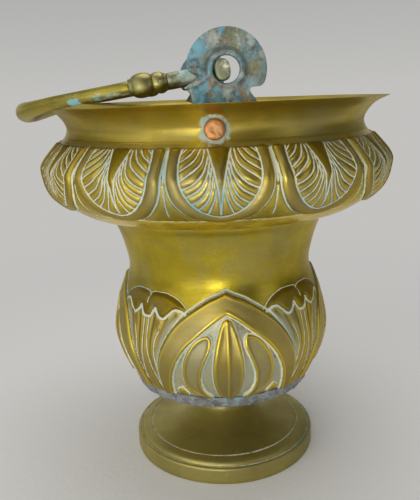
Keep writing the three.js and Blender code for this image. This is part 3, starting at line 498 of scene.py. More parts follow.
def panel_relief(wall, x, y):
    """One arched panel of the bulb, and half of the leaf on each side of it."""
    side = np.abs(x)
    closed_lobe, closed_corner = LOBE + LOBE[:1], CORNER_LEAF + CORNER_LEAF[:1]
    outer, inner, lancet, lobe, corner = (
        wall.flat(p) for p in (ARCH_OUTER, ARCH_INNER, LANCET, closed_lobe, closed_corner))
    bottom = wall.length + 5
    arch_outline = mirrored(np.vstack([outer, [[outer[-1, 0], bottom]]]))
    ground_outline = mirrored(np.vstack([inner, [[inner[-1, 0], bottom]]]))
    in_arch, in_ground = within(arch_outline, x, y), within(ground_outline, x, y)
    in_lancet = within(mirrored(lancet), x, y)
    in_lobe, in_corner = within(lobe, side, y), within(corner, side, y)
    to_outer, to_inner, to_lancet, to_lobe, to_corner = (
        nearest(p, side, y) for p in (outer, inner, lancet, lobe, corner))

    # the leaf between the panels, measured from its own middle
    from_leaf = math.radians(LEAF_SPAN) * wall.radius(y) - side
    tip_top, scallops = wall.flat(TIP_TOP, 6), wall.flat(TIP_SCALLOPS, 6)
    in_tip = within(np.vstack([tip_top, scallops[::-1]]), np.abs(from_leaf), y) & ~in_arch
    to_top, to_scallops = nearest(tip_top, from_leaf, y), nearest(scallops, from_leaf, y)
    below_tip = ~in_arch & ~in_tip & (y > np.interp(from_leaf, scallops[:, 0], scallops[:, 1]))
    below_tip &= from_leaf < scallops[:, 0].max()
    to_vein = np.full(x.shape, FAR)
    outside_vein = []
    for points in LEAF_VEINS:
        vein = wall.flat(points)
        to_vein = np.minimum(to_vein, nearest(vein, from_leaf, y))
        outside_vein.append(below_tip & (from_leaf > np.interp(y, vein[:, 1], vein[:, 0])))
    to_crease = np.full(x.shape, FAR)
    for points in LEAF_CREASES:
        to_crease = np.minimum(to_crease, nearest(wall.flat(points), from_leaf, y))
    to_notch = nearest(wall.flat(NOTCH_DEPTH), from_leaf, y)

    share = to_outer / (to_outer + to_inner + 1e-9)
    band = 1.35 + 0.55 * ridge(np.minimum(to_outer, to_inner) - 1.5, 0.9) + 0.25 * np.sin(math.pi * share)
    band *= smoothstep(-0.6, 1.2, np.minimum(to_outer, to_inner))
    ground = -0.5 + 0.25 * smoothstep(0, 3, to_inner)
    lancet_rise = 0.5 + 1.7 * smoothstep(0, 1.1, to_lancet) - 0.7 * smoothstep(1.2, 4.5, to_lancet)
    lancet_rise += 0.9 * ridge(side, 0.9) * smoothstep(0, 4, to_lancet)
    lobe_rise = 0.2 + 2.0 * ridge(to_lobe - 1.2, 1.0) + 0.55 * smoothstep(1.5, 3, to_lobe)
    corner_rise = 0.2 + 1.0 * smoothstep(0, 1.6, to_corner)
    low_leaves = np.where(in_lobe, lobe_rise, np.where(in_corner, corner_rise, ground))
    inside = np.where(in_lancet, lancet_rise, low_leaves)
    tip_rise = 1.9 * smoothstep(0, 3.4, to_top) * smoothstep(0, 1.8, to_scallops) + 0.3
    folds = 1 - ridge(np.minimum(to_vein, to_crease), 1.2)
    vein_rise = 0.2 + 1.1 * folds * smoothstep(0, 1.6, to_scallops)
    vein_rise *= 1 - 0.5 * ridge(to_outer, 1.8)
    height = np.where(in_ground, inside, np.where(in_arch, band, 0))
    height = np.where(in_tip, tip_rise, np.where(below_tip, vein_rise, height))
    below_apex = smoothstep(wall.run_at(124), wall.run_at(136), y)
    bordered = in_arch | (below_apex > 0)
    height -= 0.6 * ridge(to_outer, 0.9) * bordered + 0.5 * ridge(to_notch, 0.7) * in_tip
    height *= 1 - smoothstep(*(wall.run_at(drop) for drop in ORNAMENT_FOOT), y)

    outlines = np.minimum.reduce([to_outer, to_inner, to_lancet, to_lobe, to_corner])
    beside = 1.7 - 1.3 * below_apex
    from_arch = np.abs(to_outer - beside)
    outlines = np.where(in_arch, np.maximum(outlines, FAR * (outlines == to_outer)), outlines)
    fillet = np.where(in_tip, to_scallops + 0.15, np.maximum(to_scallops - 0.9, 0.0))
    outlines = np.where(in_arch, outlines, np.minimum(from_arch + 0.08, np.minimum(fillet, to_top + 0.3)))
    outlines = np.where(in_tip, np.minimum(outlines, to_notch + 0.15), outlines)
    beside_border = ~in_arch & (to_outer < beside)
    edges = signed(outlines, beside_border, in_ground, in_lancet, in_lobe, in_corner, in_tip)
    veins = np.where(below_tip, signed(to_vein, *outside_vein), FAR)
    recess = (in_ground & ~in_lancet & ~in_lobe & ~in_corner).astype(float)
    leaf_share = to_outer / (to_outer + np.abs(from_leaf) + 1e-9)
    recess = np.maximum(recess, below_tip * below_apex * (1 - smoothstep(0.17, 0.22, leaf_share)))
    beside_arch = ~in_arch & ~in_tip & (to_outer < beside + 0.2)
    recess = np.maximum(recess, 0.75 * beside_arch * (1 - below_apex))
    # Tarnish goes below zero along the raised edges, which bares bright brass there: partly rubbing,
    # partly a painted highlight
    raised_edge = ridge(np.minimum.reduce([to_outer, to_inner, to_lancet, to_lobe]) - 1.0, 0.55)
    raised = (in_arch & ~in_ground) | in_lancet | in_lobe
    tarnish = 1.0 * in_tip + 0.6 * below_tip + raised * (0.7 - 1.05 * raised_edge)
    hollow = smoothstep(2.0, 3.2, to_lobe) * in_lobe
    return height, edges, veins, np.maximum(recess, 0.4 * hollow), tarnish


def plain(wall, x, y):
    """A sheet without relief."""
    blank = np.zeros(x.shape)
    return blank, blank + FAR, blank + FAR, blank, blank


# Meshes


def blurred(values, cells):
    """A grid averaged over a square of cells, its edges repeated."""
    padded = np.pad(values, cells, mode="edge")
    total = np.zeros(values.shape)
    for i in range(2 * cells + 1):
        for j in range(2 * cells + 1):
            total += padded[i:i + values.shape[0], j:j + values.shape[1]]
    return total / (2 * cells + 1) ** 2


def wall_rows(wall, runs, columns, half_angle, relief, depth_below=0.0, soften=0):
    """Rows of a wall's surface: for each column its radius and height, and the masks there."""
    angle = np.linspace(-half_angle, half_angle, columns + 1)
    run, theta = np.meshgrid(runs, np.radians(angle), indexing="ij")
    height, *masks = relief(wall, theta * wall.radius(run), run)
    if depth_below:
        masks[:2] = np.full((2, *run.shape), FAR)
    # How far each point stands above its surroundings: rubbed brass and painted highlights where it is
    # high, painted shade where it is low
    masks.append(np.clip(height - blurred(height, 3), -1, 1))
    used = blurred(height, soften) if soften else height
    out, up = wall.normal(run)
    radius = wall.radius(run) + out * (used - depth_below)
    rise = RIM_HEIGHT - wall.drop(run) + up * (used - depth_below)
    return [dict(radius=radius[i], rise=rise[i], **{name: mask[i] for name, mask in zip(MASKS, masks)})
            for i in range(len(runs))]


def plain_row(radius, rise, columns):
    blank = np.zeros(columns + 1)
    masks = dict(zip(MASKS, (blank + FAR, blank + FAR, blank, blank, blank)))
    return dict(radius=blank + radius, rise=blank + rise, **masks)


def stitched(first, first_columns, second, second_columns):
    """Faces between two rows, one of which has a whole number of times as many columns."""
    if first_columns == second_columns:
        return [(first + j, second + j, second + j + 1, first + j + 1) for j in range(first_columns)]
    each = max(first_columns, second_columns) // min(first_columns, second_columns)
    middle = (each + 1) // 2
    faces = []
    for j in range(min(first_columns, second_columns)):
        for k in range(each):
            fine, near = j * each + k, j if k < middle else j + 1
            if first_columns > second_columns:
                faces.append((first + fine, second + near, first + fine + 1))
            else:
                faces.append((first + near, second + fine, second + fine + 1))
        fine = j * each + middle
        if first_columns > second_columns:
            faces.append((first + fine, second + j, second + j + 1))
        else:
            faces.append((first + j, second + fine, first + j + 1))
    return faces


def mesh_points(mesh):
    """A mesh's points, as rows of coordinates in metres."""
    points = np.zeros(len(mesh.vertices) * 3)
    mesh.vertices.foreach_get("co", points)
    return points.reshape(-1, 3)


def move_points(mesh, points):
    mesh.vertices.foreach_set("co", points.ravel())
    mesh.update()


def point_values(obj, name, values):
    """Stores one number for each point of an object's mesh."""
    attribute = obj.data.attributes.new(name, "FLOAT", "POINT")
    attribute.data.foreach_set("value", np.array(values, np.float32))


def ring_faces(rings, closed=False):
    """Faces between rings of point numbers. A ring of one number is a pole."""
    segments = max(len(ring) for ring in rings)
    faces = []
    for first, second in zip(rings, [*rings[1:], rings[0]] if closed else rings[1:]):
        for j in range(segments):
            k = (j + 1) % segments
            corners = (first[j % len(first)], second[j % len(second)], second[k % len(second)],
                       first[k % len(first)])
            face = list(dict.fromkeys(corners))
            if len(face) > 2:
                faces.append(face)
    return faces


def sector_object(name, rows, half_angle):
    """A sector of a turned sheet, round the Z axis, from rows that run round its section."""
    starts = np.cumsum([0] + [len(row["radius"]) for row in rows])
    points = []
    for row in rows:
        radius = row["radius"]
        angle = np.radians(np.linspace(-half_angle, half_angle, len(radius)))
        points.append(np.stack([radius * np.sin(angle), -radius * np.cos(angle), row["rise"]], 1))
    faces = []
    for i, row in enumerate(rows):
        after = (i + 1) % len(rows)
        faces += stitched(starts[i], len(row["radius"]) - 1, starts[after], len(rows[after]["radius"]) - 1)
    obj = mesh_object(name, np.vstack(points) * MM, faces)
    for mask in MASKS:
        point_values(obj, mask, np.concatenate([row[mask] for row in rows]))
    return obj


def mesh_object(name, points, faces, material=None):
    mesh = bpy.data.meshes.new(name)
    mesh.from_pydata([tuple(p) for p in points], [], [tuple(int(i) for i in f) for f in faces])
    mesh.polygons.foreach_set("use_smooth", np.ones(len(mesh.polygons), bool))
    mesh.update()
    obj = bpy.data.objects.new(name, mesh)
    bpy.context.scene.collection.objects.link(obj)
    if material:
        mesh.materials.append(material)
    return obj


def sharpen(obj, degrees):
    """Edges that turn more than this stay crisp."""
    obj.data.set_sharp_from_angle(angle=math.radians(degrees))


def turned_object(name, line, segments, material, wobble=None, closed=True):
    """A solid turned round the vessel's axis from (radius, height) points that close on themselves."""
    angles = np.linspace(0, 2 * math.pi, segments, endpoint=False)
    points, rings = [], []
    for radius, height in np.array(line, float):
        if radius < 1e-6:
            rings.append([len(points)])
            points.append((0, 0, height))
            continue
        rings.append(range(len(points), len(points) + segments))
        for angle in angles:
            out = radius + (wobble(angle, radius, height) if wobble else 0)
            points.append((out * math.sin(angle), -out * math.cos(angle), height))
    placed = np.array(points) * MM + [AXIS_X, 0, 0]
    return mesh_object(name, placed, ring_faces(rings, closed), material)


def swept_object(name, rings, material, place, pierced=False):
    """A tube through rings of (middle, side, rise, half side, half rise, power).

    It is capped at both ends, or closed on itself round a hole.
    """
    sections = 36
    points, faces = [], []
    for middle, side, rise, half_side, half_rise, power in rings:
        for k in range(sections):
            angle = 2 * math.pi * k / sections
            c, s = math.cos(angle), math.sin(angle)
            across = math.copysign(abs(c) ** (2 / power), c) * half_side
            above = math.copysign(abs(s) ** (2 / power), s) * half_rise
            points.append(place(middle + side * across + rise * above))
    for i in range(len(rings) - 1 + pierced):
        for k in range(sections):
            a, b = i * sections, (i + 1) % len(rings) * sections
            after = (k + 1) % sections
            faces.append((a + k, a + after, b + after, b + k))
    for i, flip in () if pierced else ((0, True), (len(rings) - 1, False)):
        points.append(place(rings[i][0]))
        for k in range(sections):
            fan = (len(points) - 1, i * sections + k, i * sections + (k + 1) % sections)
            faces.append(fan[::-1] if flip else fan)
    return mesh_object(name, points, faces, material)


def face_out(obj):
    """Turns a closed mesh's faces outwards."""
    mesh = obj.data
    corners = mesh_points(mesh)
    mesh.calc_loop_triangles()
    index = np.zeros(len(mesh.loop_triangles) * 3, int)
    mesh.loop_triangles.foreach_get("vertices", index)
    a, b, c = corners[index.reshape(-1, 3)].transpose(1, 0, 2)
    middle = corners.mean(0)
    if np.einsum("ij,ij->", a - middle, np.cross(b - middle, c - middle)) < 0:
        mesh.flip_normals()
    return obj


# Node trees


def set_inputs(tree, node, inputs):
    """Sets a node's inputs to values, or links them to sockets."""
    for key, value in inputs.items():
        if isinstance(value, bpy.types.NodeSocket):
            tree.links.new(value, node.inputs[key])
        else:
            node.inputs[key].default_value = value
    return node


def new_node(tree, kind, inputs=None, **settings):
    made = tree.nodes.new(kind)
    for key, value in settings.items():
        setattr(made, key, value)
    return set_inputs(tree, made, inputs or {})


def calculate(tree, operation, *values, clamp=False):
    """The result of one step of arithmetic on numbers or sockets."""
    made = new_node(tree, "ShaderNodeMath", dict(enumerate(values)), operation=operation, use_clamp=clamp)
    return made.outputs[0]


def map_range(tree, value, low, high, to_low=0.0, to_high=1.0, kind="LINEAR"):
    """A value whose range is stretched to another one and held at its ends."""
    inputs = {"Value": value, "From Min": low, "From Max": high, "To Min": to_low, "To Max": to_high}
    return new_node(tree, "ShaderNodeMapRange", inputs, interpolation_type=kind).outputs[0]


def vector_step(tree, operation, *values):
    """The result of one step on vectors, which is a number where the operation measures."""
    made = new_node(tree, "ShaderNodeVectorMath", dict(enumerate(values)), operation=operation)
    measures = operation in ("LENGTH", "DISTANCE", "DOT_PRODUCT")
    return made.outputs["Value" if measures else "Vector"]


def mix_colours(tree, share, first, second):
    inputs = {"Factor": share, 6: first, 7: second}
    return new_node(tree, "ShaderNodeMix", inputs, data_type="RGBA").outputs[2]


def noise_value(tree, place, scale, detail=2.0, roughness=0.5):
    inputs = {"Vector": place, "Scale": scale, "Detail": detail, "Roughness": roughness}
    return new_node(tree, "ShaderNodeTexNoise", inputs).outputs[0]


def object_place(tree):
    return new_node(tree, "ShaderNodeTexCoord").outputs["Object"]


def attribute_value(tree, name):
    return new_node(tree, "ShaderNodeAttribute", attribute_name=name).outputs["Fac"]


def group_tree(name, kind, inputs, outputs):
    """A node tree with named sockets, as (name, socket type, default)."""
    tree = bpy.data.node_groups.new(name, kind)
    for label, socket_type, default in inputs:
        socket = tree.interface.new_socket(name=label, in_out="INPUT", socket_type=socket_type)
        if default is not None:
            socket.default_value = default
    for label, socket_type in outputs:
        tree.interface.new_socket(name=label, in_out="OUTPUT", socket_type=socket_type)
    return tree, tree.nodes.new("NodeGroupInput").outputs, tree.nodes.new("NodeGroupOutput").inputs


def axis_distance(tree, place, axis):
    """How far a place is from the upright line through a point on the axis."""
    level = vector_step(tree, "MULTIPLY", vector_step(tree, "SUBTRACT", place, axis), (1, 1, 0))
    return vector_step(tree, "LENGTH", level)


def give_results(tree, result, sockets):
    """Links each socket to the group's output of that name."""
    for name, socket in sockets.items():
        tree.links.new(socket, result[name])
    return tree


def radial_repeat_tree():
    """Copies a sector round the vessel's axis, welds the seams and gives it its material."""
    tree, given, result = group_tree("Radial repeat", "GeometryNodeTree", (
        ("Geometry", "NodeSocketGeometry", None), ("Count", "NodeSocketInt", 12), ("Axis", VECTOR, None),
        ("First Angle", NUMBER, 0.0), ("Weld Distance", NUMBER, 0.00001),
        ("Material", "NodeSocketMaterial", None)), (("Geometry", "NodeSocketGeometry"),))
    points = new_node(tree, "GeometryNodePoints", {"Count": given["Count"], "Position": given["Axis"]})
    pitch = calculate(tree, "DIVIDE", 2 * math.pi, given["Count"])
    index = new_node(tree, "GeometryNodeInputIndex")
    angle = calculate(tree, "MULTIPLY_ADD", index.outputs[0], pitch, given["First Angle"])
    euler = new_node(tree, "ShaderNodeCombineXYZ", {"Z": angle})
    rotation = new_node(tree, "FunctionNodeEulerToRotation", {0: euler.outputs[0]})
    copies = new_node(tree, "GeometryNodeInstanceOnPoints", {
        "Points": points.outputs[0], "Instance": given["Geometry"], "Rotation": rotation.outputs[0]})
    real = new_node(tree, "GeometryNodeRealizeInstances", {0: copies.outputs[0]})
    weld = {0: real.outputs[0], "Distance": given["Weld Distance"]}
    welded = new_node(tree, "GeometryNodeMergeByDistance", weld)
    smooth = new_node(tree, "GeometryNodeSetShadeSmooth", {0: welded.outputs[0]})
    dress = {0: smooth.outputs[0], "Material": given["Material"]}
    dressed = new_node(tree, "GeometryNodeSetMaterial", dress)
    return give_results(tree, result, {"Geometry": dressed.outputs[0]})


def shared(name, make):
    """A node tree that several pieces use, built once."""
    return bpy.data.node_groups.get(name) or make()


def repeated(sector, name, count, first_angle, material):
    """The sector repeated round the vessel as one plain mesh."""
    tree = shared("Radial repeat", radial_repeat_tree)
    modifier = sector.modifiers.new("Radial repeat", "NODES")
    modifier.node_group = tree
    values = {"Count": count, "Axis": (AXIS_X, 0.0, 0.0), "First Angle": first_angle, "Material": material}
    for item in tree.interface.items_tree:
        if item.in_out == "INPUT" and item.name in values:
            modifier[item.identifier] = values[item.name]
    bpy.context.view_layer.update()
    evaluated = sector.evaluated_get(bpy.context.evaluated_depsgraph_get())
    mesh = bpy.data.meshes.new_from_object(evaluated)
    mesh.name = name
    bpy.data.objects.remove(sector)
    obj = bpy.data.objects.new(name, mesh)
    bpy.context.scene.collection.objects.link(obj)
    mesh.materials.clear()
    mesh.materials.append(material)
    return obj


# Shader groups


def tone_tree():
    """Brass that has darkened unevenly: two colours mixed by large and small clouds and by streaks."""
    tree, given, result = group_tree("Brass tone", "ShaderNodeTree", (
        ("Bright", COLOUR, (0.6, 0.5, 0.1, 1)), ("Dull", COLOUR, (0.3, 0.25, 0.05, 1)),
        ("Cloud Scale", NUMBER, 14.0), ("Streak Scale", NUMBER, 90.0), ("Dullness", NUMBER, 0.5),
        ("Roughness", NUMBER, 0.35)), (("Color", COLOUR), ("Roughness", NUMBER), ("Height", NUMBER)))
    place = object_place(tree)
    clouds = noise_value(tree, place, given["Cloud Scale"], detail=6.0, roughness=0.62)
    flat = new_node(tree, "ShaderNodeMapping", {"Vector": place, "Scale": (1, 1, 9)})
    streaks = noise_value(tree, flat.outputs[0], given["Streak Scale"], detail=4.0, roughness=0.7)
    fine = noise_value(tree, place, 420.0, detail=3.0)
    wide = map_range(tree, clouds, 0.36, 0.66)
    both = calculate(tree, "MULTIPLY_ADD", streaks, 0.45, wide)
    shift = calculate(tree, "ADD", both, given["Dullness"])
    share = calculate(tree, "SUBTRACT", shift, 0.72, clamp=True)
    mixed = mix_colours(tree, share, given["Bright"], given["Dull"])
    rough = calculate(tree, "MULTIPLY_ADD", share, 0.16, given["Roughness"])
    grain = calculate(tree, "MULTIPLY_ADD", fine, 0.12, rough)
    settled = calculate(tree, "SUBTRACT", grain, 0.06)
    bump = calculate(tree, "MULTIPLY_ADD", fine, 0.3, streaks)
    return give_results(tree, result, {"Color": mixed, "Roughness": settled, "Height": bump})


def patina_tree():
    """Crusts of pale and blue-green salts where a mask asks for them, broken up by noise."""
    tree, given, result = group_tree("Patina", "ShaderNodeTree", (
        ("Color", COLOUR, (0.5, 0.4, 0.1, 1)), ("Roughness", NUMBER, 0.4), ("Mask", NUMBER, 0.0),
        ("Pale", COLOUR, (0.6, 0.6, 0.5, 1)), ("Blue", COLOUR, (0.3, 0.5, 0.5, 1)),
        ("Scale", NUMBER, 160.0), ("Blueness", NUMBER, 0.4), ("Scatter", NUMBER, 0.12)),
        (("Color", COLOUR), ("Roughness", NUMBER), ("Metallic", NUMBER), ("Height", NUMBER)))
    place = object_place(tree)
    crumbs = noise_value(tree, place, given["Scale"], detail=5.0, roughness=0.65)
    drift = noise_value(tree, place, 22.0, detail=3.0)
    broken = map_range(tree, crumbs, 0.3, 0.62, to_low=-0.42, to_high=given["Scatter"])
    cover = calculate(tree, "ADD", given["Mask"], broken)
    amount = map_range(tree, cover, 0.18, 0.7)
    hue = calculate(tree, "ADD", drift, given["Blueness"])
    tint = map_range(tree, hue, 0.72, 1.05)
    salts = mix_colours(tree, tint, given["Pale"], given["Blue"])
    mixed = mix_colours(tree, amount, given["Color"], salts)
    rough = new_node(tree, "ShaderNodeMix", {"Factor": amount, 2: given["Roughness"], 3: 0.85})
    metal = calculate(tree, "SUBTRACT", 1.0, amount)
    rise = calculate(tree, "MULTIPLY", crumbs, amount)
    return give_results(tree, result, {
        "Color": mixed, "Roughness": rough.outputs[0], "Metallic": metal, "Height": rise})


def turning_tree():
    """Fine rings left by the lathe, round the vessel's axis, with a little chatter."""
    tree, given, result = group_tree("Turning marks", "ShaderNodeTree", (
        ("Axis", VECTOR, None), ("Scale", NUMBER, 900.0)), (("Height", NUMBER),))
    place = object_place(tree)
    radius = axis_distance(tree, place, given["Axis"])
    split = new_node(tree, "ShaderNodeSeparateXYZ", {0: place})
    ring = new_node(tree, "ShaderNodeCombineXYZ", {"X": radius, "Y": split.outputs["Z"]})
    marks = noise_value(tree, ring.outputs[0], given["Scale"], detail=3.0, roughness=0.75)
    drag = noise_value(tree, place, 35.0)
    return give_results(tree, result, {"Height": calculate(tree, "MULTIPLY", marks, drag)})


def chased_lines_tree():
    """Lines where a signed distance passes zero: a mask for what fills them, and their depth."""
    tree, given, result = group_tree("Chased lines", "ShaderNodeTree", (
        ("Edges", NUMBER, FAR), ("Veins", NUMBER, FAR), ("Edge Width", NUMBER, 0.45),
        ("Vein Width", NUMBER, 0.3), ("Fade", NUMBER, 0.25)), (("Lines", NUMBER), ("Depth", NUMBER)))
    ragged = noise_value(tree, object_place(tree), 320.0, detail=3.0)
    wander = map_range(tree, ragged, 0.3, 0.7, to_low=-0.14, to_high=0.14)
    marks, depths = [], []
    for name, share in (("Edge", 1.0), ("Vein", 0.8)):
        away = calculate(tree, "ABSOLUTE", given[name + "s"])
        near = calculate(tree, "ADD", away, wander)
        outside = calculate(tree, "ADD", given[name + " Width"], given["Fade"])
        marks.append(map_range(tree, near, given[name + " Width"], outside, to_low=1.0, to_high=0.0))
        reach = calculate(tree, "MULTIPLY", outside, 1.5)
        depths.append(map_range(tree, away, 0.0, reach, to_low=share, to_high=0.0, kind="SMOOTHSTEP"))
    return give_results(tree, result, {
        "Lines": calculate(tree, "MAXIMUM", *marks), "Depth": calculate(tree, "MAXIMUM", *depths)})


def halo_tree():
    """Salts bred by damp round a rivet. The place is the rear rivet's, and the front one mirrors it."""
    tree, given, result = group_tree("Rivet halo", "ShaderNodeTree", (
        ("Place", VECTOR, None), ("Radius", NUMBER, 0.01)), (("Mask", NUMBER),))
    place = object_place(tree)
    split = new_node(tree, "ShaderNodeSeparateXYZ", {0: place}).outputs
    both_sides = {"X": split["X"], "Y": calculate(tree, "ABSOLUTE", split["Y"]), "Z": split["Z"]}
    folded = new_node(tree, "ShaderNodeCombineXYZ", both_sides)
    away = vector_step(tree, "DISTANCE", folded.outputs[0], given["Place"])
    share = calculate(tree, "DIVIDE", away, given["Radius"])
    ragged = noise_value(tree, place, 180.0, detail=4.0)
    edge = calculate(tree, "MULTIPLY_ADD", ragged, 0.9, share)
    mask = map_range(tree, edge, 1.15, 1.5, to_low=0.8, to_high=0.0)
    return give_results(tree, result, {"Mask": mask})


def stain_tree():
    """A ragged patch of salts round one place, and how blue it is."""
    tree, given, result = group_tree("Stain", "ShaderNodeTree", (
        ("Place", VECTOR, None), ("Size", VECTOR, (0.01, 0.01, 0.01)), ("Strength", NUMBER, 1.0),
        ("Blue", NUMBER, 0.0)), (("Mask", NUMBER), ("Blue", NUMBER)))
    place = object_place(tree)
    away = vector_step(tree, "SUBTRACT", place, given["Place"])
    reach = vector_step(tree, "LENGTH", vector_step(tree, "DIVIDE", away, given["Size"]))
    ragged = noise_value(tree, place, 420.0, detail=4.0)
    edge = calculate(tree, "MULTIPLY_ADD", ragged, 0.9, reach)
    inside = map_range(tree, edge, 1.2, 1.6, to_low=1.0, to_high=0.0)
    mask = calculate(tree, "MULTIPLY", inside, given["Strength"])
    blue = calculate(tree, "MULTIPLY", inside, given["Blue"])
    return give_results(tree, result, {"Mask": mask, "Blue": blue})


def ring_line_tree():
    """Salts held in a turned line at one distance from the vessel's axis."""
    tree, given, result = group_tree("Ring line", "ShaderNodeTree", (
        ("Axis", VECTOR, None), ("Radius", NUMBER, 0.05), ("Width", NUMBER, 0.0005)), (("Mask", NUMBER),))
    radius = axis_distance(tree, object_place(tree), given["Axis"])
    near = calculate(tree, "ABSOLUTE", calculate(tree, "SUBTRACT", radius, given["Radius"]))
    share = calculate(tree, "DIVIDE", near, given["Width"])
    mask = map_range(tree, share, 0.6, 1.1, to_low=0.62, to_high=0.0)
    return give_results(tree, result, {"Mask": mask})


def group_node(tree, name, make, inputs):
    made = tree.nodes.new("ShaderNodeGroup")
    made.node_tree = shared(name, make)
    return set_inputs(tree, made, inputs)


def colour(values):
    return (*values, 1.0)


def toned(tree, bright, dull, clouds, streaks, dullness, roughness):
    """An uneven tone between two colours."""
    return group_node(tree, "Brass tone", tone_tree, {
        "Bright": colour(bright), "Dull": colour(dull), "Cloud Scale": clouds, "Streak Scale": streaks,
        "Dullness": dullness, "Roughness": roughness}).outputs


def crusted(tree, base, roughness, mask, pale, blue, scale, blueness, scatter=0.12):
    """A base colour under salts of two colours."""
    return group_node(tree, "Patina", patina_tree, {
        "Color": base, "Roughness": roughness, "Mask": mask, "Pale": colour(pale), "Blue": colour(blue),
        "Scale": scale, "Blueness": blueness, "Scatter": scatter}).outputs


def lathe_rings(tree, scale):
    marks = group_node(tree, "Turning marks", turning_tree, {"Axis": (AXIS_X, 0, 0), "Scale": scale})
    return marks.outputs[0]


def finish_material(material, colour_socket, roughness, metallic, height, distance):
    """Joins the varying values to the material's own shader."""
    tree = material.node_tree
    bump = new_node(tree, "ShaderNodeBump", {"Height": height, "Distance": distance, "Strength": 1.0})
    set_inputs(tree, tree.nodes["Principled BSDF"], {
        "Base Color": colour_socket, "Roughness": roughness, "Metallic": metallic,
        "Normal": bump.outputs[0], "Coat Weight": FILM_WEIGHT, "Coat Roughness": FILM_ROUGHNESS,
        "Specular Tint": colour(GLINT)})
    return material


def new_material(name):
    material = bpy.data.materials.get(name)
    if material:
        return material, False
    material = bpy.data.materials.new(name)
    material.use_nodes = True
    return material, True


def chased_brass(settings):
    """The sheet: rubbed yellow and painted highlights on the high spots, raised edges and lip, painted
    shade in the hollows, tarnished flats, pale salts in the chasing.
    """
    material, fresh = new_material("Chased brass")
    if not fresh:
        return material
    tree = material.node_tree
    edges, veins, recess, tarnish, wear = (attribute_value(tree, mask) for mask in MASKS)
    place = object_place(tree)
    tone = toned(tree, settings.bright_brass, settings.dull_brass, 16.0, 60.0, 0.36, 0.27)

    patches = noise_value(tree, place, 45.0, detail=4.0)
    uneven = map_range(tree, patches, 0.35, 0.65, to_low=0.7, to_high=1.1)
    cover = calculate(tree, "MULTIPLY", tarnish, uneven, clamp=True)
    deep = map_range(tree, tarnish, 0.7, 0.95)
    film = mix_colours(tree, deep, colour(settings.tarnish), colour(settings.amber))
    browned = mix_colours(tree, cover, tone["Color"], film)
    # Where the tarnish mask is below zero, on the rolled lip and along the raised edges, bright brass is
    # painted in: partly rubbing, partly painted highlight and reflection
    baring_patches = map_range(tree, patches, 0.42, 0.6, to_low=-0.7, to_high=-2.0)
    bared_and_highlit = calculate(tree, "MULTIPLY", tarnish, baring_patches, clamp=True)
    # The high spots get the rubbed colour, partly rubbed brass and partly a painted highlight
    rubbed_and_highlit = map_range(tree, wear, 0.1, 0.45)
    kept = calculate(tree, "SUBTRACT", rubbed_and_highlit, deep, clamp=True)
    bare_and_highlit = calculate(tree, "MAXIMUM", kept, bared_and_highlit)
    # The rubbed colour here stands both for real rubbing and for painted highlights and reflections
    polished = mix_colours(tree, bare_and_highlit, browned, colour(settings.worn_highlight_brass))
    # Painted shade: darker brown where the relief lies lower than its surroundings
    sunk = map_range(tree, wear, -0.08, -0.7, to_high=0.75)
    hollow_shaded = mix_colours(tree, sunk, polished, colour(settings.hollow_shade_brown))
    dulled = calculate(tree, "MULTIPLY_ADD", cover, 0.2, tone["Roughness"])
    smoother = calculate(tree, "MULTIPLY_ADD", bare_and_highlit, -0.1, dulled)

    silt = calculate(tree, "MULTIPLY", recess, uneven, clamp=True)
    silted = mix_colours(tree, silt, hollow_shaded, colour(settings.silt))
    haze = noise_value(tree, place, 21.0, detail=7.0, roughness=0.7)
    hazy = map_range(tree, haze, 0.47, 0.66, to_high=0.5)
    filmed = mix_colours(tree, hazy, silted, colour(settings.haze))
    chasing = group_node(tree, "Chased lines", chased_lines_tree, {
        "Edges": edges, "Veins": veins, "Edge Width": 0.38, "Vein Width": 0.29, "Fade": 0.24})
    halo = group_node(tree, "Rivet halo", halo_tree, {
        "Place": (AXIS_X, NECK_RADIUS * MM, RIVET_HEIGHT * MM), "Radius": 0.0098})
    mask = calculate(tree, "MAXIMUM", chasing.outputs["Lines"], halo.outputs[0])
    blueness = calculate(tree, "MULTIPLY_ADD", halo.outputs[0], 0.25, 0.3)
    patina = crusted(tree, filmed, smoother, mask, settings.pale_salts, settings.blue_salts, 210.0,
                     blueness)
    rings = calculate(tree, "MULTIPLY_ADD", lathe_rings(tree, 700.0), 0.35, tone["Height"])
    crust = calculate(tree, "MULTIPLY_ADD", patina["Height"], 2.2, rings)
    height = calculate(tree, "MULTIPLY_ADD", chasing.outputs["Depth"], -2.6, crust)
    rubbed = calculate(tree, "MULTIPLY_ADD", bared_and_highlit, -0.5, 1.0)
    bare = calculate(tree, "MULTIPLY_ADD", silt, -0.8, rubbed)
    metallic = calculate(tree, "MULTIPLY", patina["Metallic"], bare)
    return finish_material(material, patina["Color"], patina["Roughness"], metallic, height, 0.00012)


